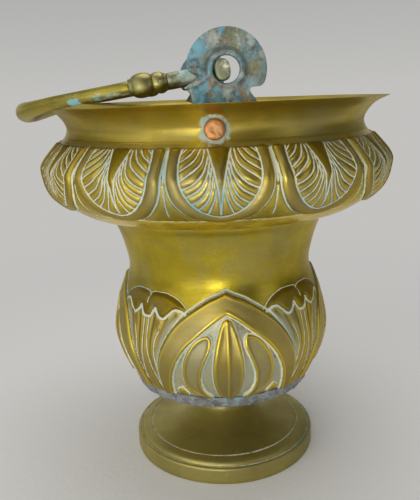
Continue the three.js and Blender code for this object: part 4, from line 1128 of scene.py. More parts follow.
def plain_brass(name, bright, dull, settings, dullness=0.4, roughness=0.34, salts=0.0, rings=0.8,
                blueness=0.3, stains=(), line_radii=(), metal_share=1.0):
    """Brass without masks: tone, lathe rings, a scatter of salts, stains and salts in turned lines."""
    material, fresh = new_material(name)
    if not fresh:
        return material
    tree = material.node_tree
    tone = toned(tree, bright, dull, 20.0, 70.0, dullness, roughness)
    spots = noise_value(tree, object_place(tree), 55.0, detail=4.0, roughness=0.7)
    mask, blue = map_range(tree, spots, 0.5, 0.72, to_high=salts), blueness
    for place, size, strength, tint in stains:
        stain = group_node(tree, "Stain", stain_tree, {
            "Place": Vector(place) * MM, "Size": Vector(size) * MM, "Strength": strength, "Blue": tint})
        mask = calculate(tree, "MAXIMUM", mask, stain.outputs["Mask"])
        blue = calculate(tree, "ADD", blue, stain.outputs["Blue"])
    for radius in line_radii:
        line = group_node(tree, "Ring line", ring_line_tree, {
            "Axis": (AXIS_X, 0, 0), "Radius": radius * MM})
        mask = calculate(tree, "MAXIMUM", mask, line.outputs[0])
    patina = crusted(tree, tone["Color"], tone["Roughness"], mask, settings.pale_salts,
                     settings.blue_salts, 260.0, blue, scatter=0.16)
    height = calculate(tree, "MULTIPLY_ADD", lathe_rings(tree, 620.0), rings, tone["Height"])
    metallic = calculate(tree, "MULTIPLY", patina["Metallic"], metal_share)
    return finish_material(material, patina["Color"], patina["Roughness"], metallic, height, 0.0001)


def verdigris_casting(settings):
    """The ears: rough castings under blue-green, grey and olive salts, coppery where they are rubbed, with
    painted shade on their low parts and sides.
    """
    material, fresh = new_material("Verdigris casting")
    if not fresh:
        return material
    tree = material.node_tree
    place = object_place(tree)
    wear = attribute_value(tree, "wear")
    tone = toned(tree, settings.casting_olive, settings.casting_dark, 60.0, 120.0, 0.4, 0.55)
    regions = noise_value(tree, place, 42.0, detail=5.0, roughness=0.6)
    mask = map_range(tree, regions, 0.36, 0.56, to_low=0.15, to_high=0.95)
    patina = crusted(tree, tone["Color"], tone["Roughness"], mask, settings.casting_grey,
                     settings.casting_blue, 330.0, 0.42)
    bloom_noise = noise_value(tree, place, 150.0, detail=6.0, roughness=0.75)
    bloom = map_range(tree, bloom_noise, 0.56, 0.66)
    mottle = noise_value(tree, place, 300.0, detail=6.0, roughness=0.75)
    patched = patina["Color"]
    for patch, tint in (("olive", settings.casting_moss), ("turquoise", settings.casting_blue),
                        ("white", settings.casting_white)):
        broken = calculate(tree, "MULTIPLY_ADD", mottle, 2.6, attribute_value(tree, patch))
        share = map_range(tree, broken, 1.55, 2.25, to_high=0.85)
        patched = mix_colours(tree, share, patched, colour(tint))
    whitened = mix_colours(tree, bloom, patched, colour(settings.casting_white))
    rubbed = map_range(tree, wear, 0.12, 0.5)
    rust_noise = noise_value(tree, place, 95.0, detail=4.0)
    rust_share = map_range(tree, rust_noise, 0.46, 0.62)
    scraped = calculate(tree, "MULTIPLY_ADD", mottle, 2.6, attribute_value(tree, "coppery"))
    scrape = map_range(tree, scraped, 1.75, 2.5, to_high=0.8)
    faint = calculate(tree, "MULTIPLY", rubbed, rust_share)
    rust = calculate(tree, "MULTIPLY_ADD", faint, 0.25, scrape, clamp=True)
    coppery = mix_colours(tree, rust, whitened, colour(settings.casting_copper))
    # Painted shade: the low parts and the sides turn dark, along with random pits
    sunk = map_range(tree, wear, -0.1, -0.5, to_high=0.75)
    pits = map_range(tree, bloom_noise, 0.45, 0.34, to_high=0.7)
    darker = calculate(tree, "MAXIMUM", sunk, pits)
    shaded = mix_colours(tree, darker, coppery, colour(settings.casting_dark))
    half_metal = calculate(tree, "MULTIPLY", patina["Metallic"], 0.7)
    height = calculate(tree, "MULTIPLY_ADD", patina["Height"], 1.4, bloom_noise)
    return finish_material(material, shaded, patina["Roughness"], half_metal, height, 0.0004)


def rivet_copper(settings):
    """Hammered copper, brown with a bright middle."""
    material, fresh = new_material("Rivet copper")
    if not fresh:
        return material
    tree = material.node_tree
    tone = toned(tree, settings.copper, settings.copper_dull, 160.0, 240.0, 0.35, 0.3)
    specks = noise_value(tree, object_place(tree), 700.0, detail=4.0)
    amount = calculate(tree, "MULTIPLY", attribute_value(tree, "grime"), specks, clamp=True)
    grimy = mix_colours(tree, amount, tone["Color"], colour(settings.rivet_grime))
    return finish_material(material, grimy, tone["Roughness"], 0.9, tone["Height"], 0.00015)


def soft_solder(settings):
    """Grey solder with a crust of lime."""
    material, fresh = new_material("Soft solder")
    if not fresh:
        return material
    tree = material.node_tree
    tone = toned(tree, settings.solder, settings.solder_dark, 150.0, 260.0, 0.42, 0.5)
    lime = noise_value(tree, object_place(tree), 240.0, detail=6.0, roughness=0.7)
    mask = map_range(tree, lime, 0.4, 0.6, to_high=0.8)
    patina = crusted(tree, tone["Color"], tone["Roughness"], mask, settings.lime, settings.blue_salts,
                     300.0, 0.2)
    height = calculate(tree, "ADD", patina["Height"], tone["Height"])
    return finish_material(material, patina["Color"], patina["Roughness"], 0.35, height, 0.0006)


def oiled_leather(settings):
    """The washer's dark leather."""
    material, fresh = new_material("Oiled leather")
    if not fresh:
        return material
    tree = material.node_tree
    tone = toned(tree, settings.leather, settings.leather_dark, 120.0, 300.0, 0.4, 0.6)
    pores = new_node(tree, "ShaderNodeTexVoronoi", {"Vector": object_place(tree), "Scale": 1400.0})
    return finish_material(material, tone["Color"], tone["Roughness"], 0.0, pores.outputs["Distance"],
                           0.0001)


# Settings


def colour_property(label, text, default):
    return FloatVectorProperty(name=label, description=text, subtype="COLOR", size=3, min=0, max=1,
                               default=default)


class BucketSheetSettings(bpy.types.PropertyGroup):
    """Sizes of the chased sheets."""

    relief_share: FloatProperty(name="Relief",
                                description="How deep the chasing is, as a share of its full depth",
                                subtype="FACTOR", min=0, max=1.5, default=1.0)
    rim_waviness: FloatProperty(name="Rim waviness", description="How far the rim's edge wanders",
                                unit="LENGTH", min=0, default=0.00035)
    rim_dent: FloatProperty(name="Rim dent", description="How far the rim is pressed down beside the bail",
                            unit="LENGTH", min=0, default=0.0013)
    dent_depth: FloatProperty(name="Dents", description="Depth of the shallow dents in the sheets",
                              unit="LENGTH", min=0, default=0.00025)
    palmette_columns: IntProperty(name="Palmette columns", description="Mesh columns across one palmette",
                                  min=24, max=96, default=80)
    panel_columns: IntProperty(name="Panel columns", description="Mesh columns across one arched panel",
                               min=48, max=200, default=176)


class BucketColourSettings(bpy.types.PropertyGroup):
    """Colours of the metals and their salts."""

    bright_brass: colour_property("Bright brass", "Clean sheet", (0.52, 0.40, 0.022))
    dull_brass: colour_property("Dull brass", "Darkened sheet", (0.25, 0.185, 0.010))
    # Used for rubbed high spots and also as painted highlights and reflections on the sheet
    worn_highlight_brass: colour_property("Worn and highlit brass", "Rubbed high spots and painted highlights", (0.64, 0.47, 0.045))
    tarnish: colour_property("Tarnish", "Brown film on the raised flats", (0.36, 0.275, 0.105))
    amber: colour_property("Amber", "Deep brown of the leaves' tips", (0.24, 0.16, 0.004))
    haze: colour_property("Haze", "Grey film in patches on the whole sheet", (0.33, 0.31, 0.16))
    silt: colour_property("Silt", "Grey-green film on the sunk ground", (0.40, 0.41, 0.29))
    # Painted shade in the hollows of the relief
    hollow_shade_brown: colour_property("Hollow shade", "Painted shade in the hollows", (0.12, 0.085, 0.02))
    foot_bright: colour_property("Foot", "Lighter foot brass", (0.40, 0.34, 0.10))
    foot_dull: colour_property("Foot, dull", "Darker foot brass", (0.27, 0.225, 0.065))
    bow_bright: colour_property("Bow", "Brass polished by the hand", (0.38, 0.31, 0.05))
    bow_dull: colour_property("Bow, dull", "Darkened bow", (0.20, 0.165, 0.03))
    bail_pale: colour_property("Bail fittings", "Knops", (0.37, 0.335, 0.115))
    bail_grey: colour_property("Bail fittings, dull", "Darkened knops", (0.2, 0.19, 0.08))
    hook_pale: colour_property("Hooks", "Pale green-grey shanks", (0.27, 0.28, 0.17))
    hook_grey: colour_property("Hooks, dull", "Darkened shanks and pins", (0.17, 0.18, 0.11))
    pale_salts: colour_property("Pale salts", "Crust in the chased lines", (0.76, 0.76, 0.56))
    blue_salts: colour_property("Blue salts", "Blue-green crust", (0.21, 0.45, 0.50))
    casting_olive: colour_property("Casting olive", "Bare casting", (0.2, 0.19, 0.1))
    casting_moss: colour_property("Casting moss", "Olive-green film", (0.23, 0.235, 0.12))
    # Also the painted shade on the ears' low parts and sides
    casting_dark: colour_property("Casting dark", "Sunk parts of the casting", (0.07, 0.07, 0.05))
    casting_grey: colour_property("Casting grey", "Grey crust", (0.19, 0.225, 0.22))
    casting_blue: colour_property("Casting blue", "Blue crust", (0.17, 0.42, 0.52))
    casting_white: colour_property("Casting white", "White bloom", (0.46, 0.53, 0.49))
    casting_copper: colour_property("Casting copper", "Rubbed edges of the casting", (0.46, 0.24, 0.08))
    copper: colour_property("Copper", "Rivet head", (0.60, 0.25, 0.06))
    copper_dull: colour_property("Copper, dull", "Darkened rivet", (0.33, 0.16, 0.07))
    rivet_grime: colour_property("Rivet grime", "Grey middle of a rivet's head", (0.22, 0.17, 0.11))
    solder: colour_property("Solder", "Clean solder", (0.30, 0.31, 0.31))
    solder_dark: colour_property("Solder, dark", "Dirt on the solder", (0.09, 0.09, 0.085))
    lime: colour_property("Lime", "White crust on the solder", (0.42, 0.45, 0.46))
    leather: colour_property("Leather", "Washer", (0.09, 0.06, 0.04))
    leather_dark: colour_property("Leather, dark", "Washer's stains", (0.03, 0.02, 0.015))
    floor: colour_property("Floor", "Floor under the bucket", (0.88, 0.87, 0.85))
    backdrop: colour_property("Backdrop", "Behind the bucket", (0.54, 0.535, 0.52))
    # Painted shade at the top of the backdrop
    backdrop_top: colour_property("Backdrop, top", "High up behind the bucket", (0.40, 0.40, 0.39))


class BucketLightSettings(bpy.types.PropertyGroup):
    """Strengths of the lamps and the world."""

    key_power: FloatProperty(name="Key", description="Large lamp at the front left", min=0, default=3.6)
    fill_power: FloatProperty(name="Fill", description="Lamp at the right", min=0, default=0.9)
    top_power: FloatProperty(name="Top", description="Lamp overhead", min=0, default=4.4)
    low_power: FloatProperty(name="Low", description="Lamp near the floor, in front", min=0, default=1.1)
    flash_power: FloatProperty(name="Flash", description="Small lamp beside the camera", min=0,
                               default=0.45)
    glow_power: FloatProperty(name="Glow", description="Small lamp on the floor, in front", min=0,
                              default=0.45)
    world_strength: FloatProperty(name="World", description="Light from all round", min=0, default=0.38)


def sheet_settings():
    return bpy.context.scene.bucket_sheets


def colours():
    return bpy.context.scene.bucket_colours


# The sheets


def scaled_relief(relief):
    share = sheet_settings().relief_share

    def with_share(wall, x, y):
        height, *masks = relief(wall, x, y)
        return height * share, *masks

    return with_share


def dented(obj, depth, keep_clear):
    """Moves a sheet's points in and out by slow noise, and less where other pieces touch it."""
    points = mesh_points(obj.data)
    for point in points:
        place = Vector(point)
        out = Vector((place.x - AXIS_X, place.y, 0)).normalized()
        share = keep_clear(RIM_HEIGHT - place.z / MM)
        point += np.array(out * depth * share * noise.noise(place * 34))
    move_points(obj.data, points)


def wavy_rim(obj, depth):
    """Lets the rim's edge dip a little, and never rise towards the bail."""
    points = mesh_points(obj.data)
    angle = np.arctan2(points[:, 0] - AXIS_X, -points[:, 1])
    share = np.clip(1 - (RIM_HEIGHT - points[:, 2] / MM) / 8, 0, 1) ** 2
    wave = 0.5 + 0.28 * np.sin(3 * angle + 0.8) + 0.22 * np.sin(7 * angle + 2.1)
    dent = sheet_settings().rim_dent * ridge(np.degrees(angle) - RIM_DENT_ANGLE, RIM_DENT_SPREAD)
    points[:, 2] -= share * (depth * wave + dent)
    move_points(obj.data, points)


def make_collar():
    wall = Wall(np.vstack([through(RIM_LINE, LINE_STEPS), through(SHOULDER_LINE, LINE_STEPS)[1:]]))
    relief = scaled_relief(palmette_relief)
    half = 180 / PALMETTES
    fine = sheet_settings().palmette_columns
    plain_columns = fine // 4
    band_start, band_end = wall.run_at(BAND_TOP_DROP - 1.0), wall.run_at(BAND_LOW_DROP + 1.2)
    above_crease = wall.run_at(NECK_CREASE_DROP - 1.4)
    upper = np.concatenate([np.linspace(0.4, above_crease, 12)[:-1],
                            np.linspace(above_crease, band_start, 8)[:-1]])
    band = np.linspace(band_start, band_end, BAND_ROWS)
    lower = np.linspace(band_end, wall.length, 12)[1:]
    inner = np.linspace(wall.run_at(2.4), wall.length, COLLAR_INNER_ROWS)
    rows = [plain_row(RIM_LINE[0][0] - share * RIM_EDGE_WIDTH, RIM_HEIGHT - fall, plain_columns)
            for share, fall in RIM_EDGE]
    rows += wall_rows(wall, upper, plain_columns, half, relief)
    rows += wall_rows(wall, band, fine, half, relief, soften=1)
    rows += wall_rows(wall, lower, plain_columns, half, relief)
    inner_rows = wall_rows(wall, inner, plain_columns, half, relief, depth_below=SHEET_WALL, soften=1)
    rows += inner_rows[::-1]
    sector = sector_object("collar_sector", rows, half)
    first_angle = math.radians(FIRST_PALMETTE)
    obj = repeated(sector, "chased_collar", PALMETTES, first_angle, chased_brass(colours()))
    dented(obj, sheet_settings().dent_depth, lambda drop: smoothstep(*DENTS_BELOW_EARS, drop))
    wavy_rim(obj, sheet_settings().rim_waviness)
    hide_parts("upper_collar")
    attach(obj, "vessel")


def make_bowl():
    wall = BOWL_WALL
    relief = scaled_relief(panel_relief)
    half = 180 / PANELS
    fine = sheet_settings().panel_columns
    plain_columns = fine // 4
    start = wall.run_at(BULB_TOP_DROP)
    waist = np.linspace(0.3, start, 30)[:-1]
    bulb = np.linspace(start, wall.length, BULB_ROWS)
    inner = np.linspace(0.3, wall.length, BOWL_INNER_ROWS)
    flange = BOWL_LINE[0][0] + FLANGE_WIDTH
    under = RIM_HEIGHT - BOWL_LINE[0][1]
    rows = [plain_row(flange, under + SHEET_WALL, plain_columns), plain_row(flange, under, plain_columns)]
    rows += wall_rows(wall, waist, plain_columns, half, plain)
    rows += wall_rows(wall, bulb, fine, half, relief, soften=1)
    inner_rows = wall_rows(wall, inner, plain_columns, half, relief, depth_below=SHEET_WALL, soften=2)
    rows += inner_rows[::-1]
    rows.append(plain_row(BOWL_LINE[0][0] - SHEET_WALL, under + SHEET_WALL, plain_columns))
    sector = sector_object("bowl_sector", rows, half)
    obj = repeated(sector, "chased_bowl", PANELS, math.radians(FIRST_PANEL), chased_brass(colours()))

    def clear_of_joints(drop):
        return smoothstep(*DENTS_BELOW_COLLAR, drop) * (1 - smoothstep(*DENTS_ABOVE_SEAM, drop))

    dented(obj, sheet_settings().dent_depth, clear_of_joints)
    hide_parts("lower_bowl")
    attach(obj, "vessel")


# Turned pieces


def round_corner(middle, radius, start, end, steps=6):
    """Points of an arc, with its angles in degrees from the radius's direction."""
    angles = np.radians(np.linspace(start, end, steps))
    return [(middle[0] + radius * math.cos(a), middle[1] + radius * math.sin(a)) for a in angles]


def turned_line_mark(radius, height, depth):
    """A small turned groove, drawn from outside inwards."""
    return [(radius + depth, height), (radius + depth * 0.4, height - depth * 0.6),
            (radius, height - depth), (radius - depth * 0.4, height - depth * 0.6),
            (radius - depth, height)]


def make_foot():
    edge_middle = (FOOT_RADIUS - FOOT_EDGE_ROUND, FOOT_EDGE_HEIGHT)
    edge_top = FOOT_EDGE_HEIGHT + FOOT_EDGE_ROUND
    line_radius = edge_middle[0] - FOOT_LINE_DEPTH
    mark_radius = line_radius - FOOT_LINE_INSET
    outer = [(FOOT_RADIUS - FOOT_CHAMFER, 0), *((FOOT_RADIUS, height) for height in FOOT_SIDE_HEIGHTS)]
    outer += round_corner(edge_middle, FOOT_EDGE_ROUND, 0, 90)
    outer += turned_line_mark(mark_radius, edge_top, FOOT_LINE_DEPTH)
    crown_start = (line_radius - FOOT_CROWN_INSET, edge_top)
    crown = through((crown_start, FOOT_CROWN, (FOOT_STEP[0] + 1, FOOT_STEP[1])), 5)
    outer += [tuple(p) for p in crown]
    outer += turned_line_mark(*FOOT_STEP, FOOT_LINE_DEPTH)[1:]
    outer += [tuple(p) for p in through(FOOT_STEM_LINE, 12)[1:]]
    top = [(FOOT_BORE, FOOT_TOP), (FOOT_BORE, FOOT_TOP - FOOT_TOP_PLATE)]
    lining = [tuple(p) for p in through(FOOT_LINING, 5)]
    base = [(FOOT_RADIUS - FOOT_BASE_WIDTH, 0)]
    line = outer + top + lining + base

    def flutter(angle, radius, height):
        share = smoothstep(30, 60, radius)
        return FOOT_FLUTTER * share * (math.sin(2 * angle + 0.6) + 0.4 * math.sin(5 * angle))

    settings = colours()
    lines = (mark_radius, FOOT_STEP[0])
    material = plain_brass("Foot brass", settings.foot_bright, settings.foot_dull, settings, dullness=0.38,
                           roughness=0.36, salts=0.12, rings=1.2, blueness=0.2, stains=FOOT_STAINS,
                           line_radii=lines, metal_share=0.7)
    obj = turned_object("spun_foot", line[::-1], 192, material, flutter)
    sharpen(face_out(obj), 50)
    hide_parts("foot")
    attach(obj, "vessel")


def box_size(low, high):
    """The half width, foot and top of a box, in millimetres."""
    return (high.x - low.x) / 2 / MM, low.z / MM, high.z / MM


def make_dish():
    """The thin dish under the bulb. Its edge shows below the solder."""
    flange, bottom, top = box_size(*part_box("bottom_dish"))
    edge = flange - DISH_EDGE_ROUND
    under = [(flange - DISH_FLANGE_WIDTH, top - SHEET_WALL)]
    under += [(radius, bottom + rise) for radius, rise in DISH_LINE]
    curve = through(under, 8)
    lower = [(flange, top - SHEET_WALL * 0.7), (edge, top - SHEET_WALL), *curve, (FOOT_BORE, bottom)]
    upper = [(FOOT_BORE, bottom + SHEET_WALL), *((r, h + SHEET_WALL) for r, h in curve[::-1])]
    upper += [(edge, top), (flange, top - SHEET_WALL * 0.3)]
    settings = colours()
    material = plain_brass("Spun brass", settings.bright_brass, settings.dull_brass, settings,
                           dullness=0.45, roughness=0.4, salts=0.6)
    obj = turned_object("base_dish", lower + upper, 160, material)
    sharpen(face_out(obj), 50)
    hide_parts("bottom_dish")
    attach(obj, "vessel")


def round_spot(angle, height):
    """Where a bead's noise is read: a place on a round that closes on itself."""
    return Vector((math.sin(angle) * LUMP_ROUND, math.cos(angle) * LUMP_ROUND, height))


def make_seam_solder():
    """The lumpy bead round the seam between bowl and dish."""
    outside, foot, top = box_size(*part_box("seam_solder_bead"))
    top += SOLDER_SMEAR
    tall = top - foot

    def wall_radius(height):
        return float(BOWL_WALL.radius(BOWL_WALL.run_at(RIM_HEIGHT - height))) + SOLDER_GAP

    lean = wall_radius(top) - wall_radius(foot)
    bulge = outside - wall_radius(foot)
    face = []
    for share in np.linspace(0, 1, 9):
        height = foot + tall * share
        swell = bulge * (1 - share) ** 0.75 * min(1.0, 0.55 + share * 6)
        face.append((wall_radius(height) + swell + 0.06 * lean * (1 - share), height))
    back = [(wall_radius(foot + tall * share), foot + tall * share) for share in (0.66, 0.33, 0.0)]

    def lumps(angle, radius, height):
        spot = round_spot(angle, height * 0.6)
        share = smoothstep(foot, foot + 0.5, height)
        coarse, middling, fine = (noise.noise(spot * scale) for scale in (1.4, 4.5, 11))
        return share * (0.75 * coarse + 0.6 * middling + 0.3 * fine)

    obj = turned_object("seam_solder", (face + back)[::-1], 420, soft_solder(colours()), lumps)
    face_out(obj)
    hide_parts("seam_solder_bead")
    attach(obj, "vessel")


# Ears


def ear_outline():
    """The casting's outline as seen from outside, closed, before it is swivelled."""
    right = [tuple(p) for p in through(EAR_HALF_OUTLINE, 5)]
    right += round_corner((0, 0), EAR_HEAD_RADIUS, -6, 90, 24)[1:]
    left = [(-x, y) for x, y in right[1:-1]][::-1]
    return np.array(right + left)


def make_inner_solder():
    """The bead between the collar and the bowl."""
    outer, foot, top = box_size(*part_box("collar_solder_bead"))
    inner = outer - INNER_BEAD_WIDTH

    def lumps(angle, radius, height):
        return 0.3 * noise.noise(round_spot(angle, height) * 2.2) if radius > inner + 0.3 else 0

    line = [(inner, foot), (outer - 0.3, foot), (outer, foot + 0.25), (outer - 0.9, foot + 0.8),
            (inner + 0.9, top - 0.2), (inner, top)]
    bead = turned_object("inner_solder", line, 300, soft_solder(colours()), lumps)
    face_out(bead)
    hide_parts("collar_solder_bead")
    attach(bead, "vessel")


def make_bolt():
    """The domed bolt that holds the foot. The nut keeps its own solid and takes the same brass."""
    radius, end, crown = box_size(*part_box("foot_bolt"))
    seat = crown - BOLT_HEAD_HEIGHT
    rise = BOLT_HEAD_HEIGHT - BOLT_EDGE
    angles = np.linspace(0, math.pi / 2, 12)[:-1]
    dome = [(radius * math.cos(a), seat + BOLT_EDGE + rise * math.sin(a)) for a in angles]
    line = [(0, end), (BOLT_RADIUS - BOLT_CHAMFER, end), (BOLT_RADIUS, end + BOLT_CHAMFER),
            (BOLT_RADIUS, seat), (radius - BOLT_EDGE, seat), *dome, (0, crown)]
    settings = colours()
    brass = plain_brass("Spun brass", settings.bright_brass, settings.dull_brass, settings)
    bolt = turned_object("domed_bolt", line, 64, brass, closed=False)
    sharpen(face_out(bolt), 40)
    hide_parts("foot_bolt")
    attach(bolt, "vessel")

    nut = frame["nodes"]["foot_nut"]
    nut.data.materials.clear()
    nut.data.materials.append(brass)


def make_washer():
    """The leather that keeps the bolt's hole tight."""
    radius, foot, top = box_size(*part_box("foot_sealing_washer"))
    edge = radius - WASHER_ROUND
    line = [(FOOT_BORE, foot), (edge, foot), (radius, foot + WASHER_ROUND), (radius, top - WASHER_ROUND),
            (edge, top), (FOOT_BORE, top)]
    washer = turned_object("leather_washer", line, 96, oiled_leather(colours()))
    sharpen(face_out(washer), 40)
    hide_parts("foot_sealing_washer")
    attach(washer, "vessel")


def ear_relief(x, y):
    """How far the outer face stands out, in millimetres."""
    radius = np.hypot(x, y)
    from_top = np.degrees(np.arccos(y / radius))
    above = 1 - smoothstep(112, 128, from_top)
    outer_slope = 1 - 0.5 * smoothstep(17.2, EAR_HEAD_RADIUS, radius)
    crescent = smoothstep(10.6, 13.2, radius) * outer_slope * above
    ring = np.sin(math.pi * np.clip((radius - EAR_HOLE_RADIUS) / EAR_RING_WIDTH, 0, 1)) ** 0.6
    height = 1.25 * crescent + EAR_RING_PROUD * ring
    for line in EAR_RIDGES:
        height = height + 1.0 * ridge(nearest(through(line, 8), x, y), 1.15) * (1 - above)
    return height - 0.8 * ridge(nearest(through(EAR_CURL, 8), x, y), 0.9)


def outline_reach(outline, directions):
    """How far a closed outline is from its middle in each direction."""
    reaches = []
    for direction in directions:
        c, s = math.cos(direction), math.sin(direction)
        best = 0
        for (ax, ay), (bx, by) in zip(outline, np.roll(outline, -1, axis=0)):
            across = (bx - ax) * s - (by - ay) * c
            if abs(across) < 1e-12:
                continue
            share = (ay * c - ax * s) / across
            reach = (ax + share * (bx - ax)) * c + (ay + share * (by - ay)) * s
            if -1e-9 <= share <= 1 + 1e-9:
                best = max(best, reach)
        reaches.append(best)
    return np.array(reaches)


def ear_rows(directions):
    """Rows of the casting as (distances from the middle, which side, share), closed on themselves."""
    edge = outline_reach(ear_outline(), directions)
    hole = np.full(len(directions), EAR_HOLE_RADIUS)
    rows = []
    for share in np.linspace(0, 1, EAR_FACE_ROWS):
        rows.append((hole + EAR_BEVEL + (edge - 0.5 - hole - EAR_BEVEL) * share, "face", 0.0))
    rows += [(edge - 0.15, "face", EAR_BEVEL), (edge, "side", 0.3), (edge, "side", 0.7),
             (edge - EAR_BEVEL, "back", 0.0)]
    for share in np.linspace(0, 1, EAR_BACK_ROWS)[1:]:
        rows.append((edge - EAR_BEVEL + (hole + 0.3 - edge + EAR_BEVEL) * share, "back", 0.0))
    return rows + [(hole, "side", 0.85), (hole, "side", 0.15)]


def ear_patches(x, y):
    """How strongly each kind of patch covers the points, from 0 to 1."""
    nearness = {patch: [np.hypot(x - px, y - py) / size for px, py, size in spots]
                for patch, spots in EAR_PATCHES.items()}
    nearness["coppery"] = [nearest(through(line, 6), x, y) / EAR_SCRAPE_WIDTH for line in EAR_SCRAPES]
    return {patch: np.clip(1.4 - np.min(shares, axis=0), 0, 1) for patch, shares in nearness.items()}


def make_ear(name, node, turn):
    """A pierced casting, swivelled on its rivet, with its rubbing, painted shade and patches stored as
    masks.
    """
    directions = np.linspace(-math.pi, math.pi, EAR_COLUMNS, endpoint=False)
    rows = ear_rows(directions)
    points, masks = [], {mask: [] for mask in ("wear", *EAR_PATCHES, "coppery")}
    for reach, kind, share in rows:
        x, y = reach * np.cos(directions), reach * np.sin(directions)
        relief = ear_relief(x, y)
        pits = np.array([noise.noise(Vector((a * 0.45, b * 0.45, 3.1 + turn))) for a, b in zip(x, y)])
        if kind == "face":
            out = relief + 0.28 * pits - share
        elif kind == "side":
            out = -EAR_THICKNESS * share
        else:
            out = -EAR_THICKNESS + 0.12 * (1 + pits)
        points.append(np.stack([x, y, out + np.zeros(EAR_COLUMNS)], 1))
        # The sides, the bevels and the low parts of the upper face get a negative mask, which paints shade
        # there
        soft = -0.45 if kind == "side" or share > 0 and reach[0] > EAR_HOLE_RADIUS + 1 else 0
        level = 0.55 * smoothstep(-10, -6, y)
        masks["wear"].append(np.clip((relief - level) * 0.9, -0.6, 0.6) * (kind == "face") + soft)
        for patch, cover in ear_patches(x, y).items():
            masks[patch].append(cover * (kind != "back"))
    flat = np.vstack(points)
    swivel = math.radians(EAR_SWIVEL)
    side = flat[:, 0] * math.cos(swivel) + flat[:, 1] * math.sin(swivel)
    rise = -flat[:, 0] * math.sin(swivel) + flat[:, 1] * math.cos(swivel)
    side += EAR_HOLE_HEIGHT * math.sin(swivel)
    rise += RIVET_HEIGHT + EAR_HOLE_HEIGHT * math.cos(swivel)
    out = fitted_to_neck(EAR_FACE + flat[:, 2], side, rise)
    c, s = math.cos(turn), math.sin(turn)
    placed = np.stack([side * c + out * s, side * s - out * c, rise], 1) * MM + [AXIS_X, 0, 0]
    rings = [range(i * EAR_COLUMNS, (i + 1) * EAR_COLUMNS) for i in range(len(rows))]
    obj = mesh_object(name, placed, ring_faces(rings, closed=True), verdigris_casting(colours()))
    for mask, values in masks.items():
        point_values(obj, mask, np.concatenate(values))
    face_out(obj)
    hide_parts(node)
    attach(obj, "vessel")


def fitted_to_neck(out, side, rise):
    """Keeps a point of the tang inside the neck's hollow, a gap away from the sheet."""
    drop = np.clip(RIM_HEIGHT - rise, 0, NECK_WALL.drop_points[-1])
    room = NECK_WALL.radius(NECK_WALL.run_at(drop)) - SHEET_WALL - FIT_GAP
    limit = np.sqrt(np.maximum(room ** 2 - side ** 2, 1))
    return np.where(rise > RIM_HEIGHT, out, np.minimum(out, limit))


# Rivets


def rivet_line(crown, rim):
    """The rivet's outline as (radius, distance out). None stands for the neck's own surface."""
    tail = EAR_FACE - EAR_THICKNESS - FIT_GAP
    line = [(0, tail - RIVET_TAIL_HEIGHT), (2.0, tail - RIVET_TAIL_HEIGHT), (2.9, tail - 0.8),
            (RIVET_TAIL_RADIUS, tail - 0.2), (RIVET_TAIL_RADIUS, tail), (RIVET_SHANK_RADIUS, tail),
            (RIVET_SHANK_RADIUS, None), (RIVET_HEAD_RADIUS - 0.2, None), (RIVET_HEAD_RADIUS, rim)]
    for share in np.linspace(0, 1, 14)[1:-1]:
        angle = share * math.pi / 2
        radius = RIVET_HEAD_RADIUS * math.cos(angle) ** 0.7
        line.append((radius, rim + (crown - rim) * math.sin(angle) ** 0.8))
    return line + [(0, crown)]


def make_rivet(name, node, turn):
    """A flat hammered head that bridges the neck's hollow, a shank, and a tail inside the ear."""
    crown = -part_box("front_rivet")[0].y / MM
    rim = crown - RIVET_HEAD_HEIGHT
    points, rings = [], []
    for radius, out in rivet_line(crown, rim):
        around = RIVET_SEGMENTS if radius else 1
        rings.append(range(len(points), len(points) + around))
        for k in range(around):
            angle = 2 * math.pi * k / RIVET_SEGMENTS
            reach = radius * (1 + 0.02 * math.sin(2 * angle + 1) * (radius > RIVET_TAIL_RADIUS))
            x, y = reach * math.cos(angle), reach * math.sin(angle)
            drop = RIM_HEIGHT - RIVET_HEIGHT - y
            sheet = math.sqrt(NECK_WALL.radius(NECK_WALL.run_at(drop)) ** 2 - x ** 2)
            if out is None:
                points.append((x, y, sheet + RIVET_SEAT))
            elif out < rim:
                points.append((x, y, out))
            else:
                dished = 0.45 * math.exp(-(radius / RIVET_DISH_RADIUS) ** 2)
                dint = 0.14 * noise.noise(Vector((x * 0.6, y * 0.6, turn)))
                points.append((x, y, max(out - dished + dint, sheet + RIVET_LEAST_RISE)))
    c, s = math.cos(turn), math.sin(turn)
    placed = [((x * c + out * s) * MM + AXIS_X, (x * s - out * c) * MM, (y + RIVET_HEIGHT) * MM)
              for x, y, out in points]
    obj = mesh_object(name, placed, ring_faces(rings), rivet_copper(colours()))
    grime = [math.exp(-(math.hypot(x, y) / RIVET_DISH_RADIUS) ** 2) for x, y, _ in points]
    point_values(obj, "grime", grime)
    sharpen(face_out(obj), 45)
    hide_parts(node)
    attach(obj, "vessel")


# Bail


def centroid(node):
    return Vector(mesh_points(frame["nodes"][node].data).mean(0))


def bail_frame():
    """Takes (reach, across, above), in millimetres from the pivot, to a place on the folded bail."""
    towards_grip = ((centroid("front_knop") + centroid("rear_knop")) / 2 - PIVOT).normalized()
    above = HINGE.cross(towards_grip).normalized()
    if above.z < 0:
        above.negate()
    return lambda p: PIVOT + (towards_grip * p[0] + HINGE * p[1] + above * p[2]) * MM


def superellipse(share):
    return math.copysign(abs(share) ** (2 / BOW_SQUARE_POWER), share)


def arm_place(reach, mirror):
    """A point on the straight part of the front arm, or of the rear arm where mirror is -1."""
    return reach, -mirror * (ARM_HALF_SPAN + ARM_SPLAY * reach), 0


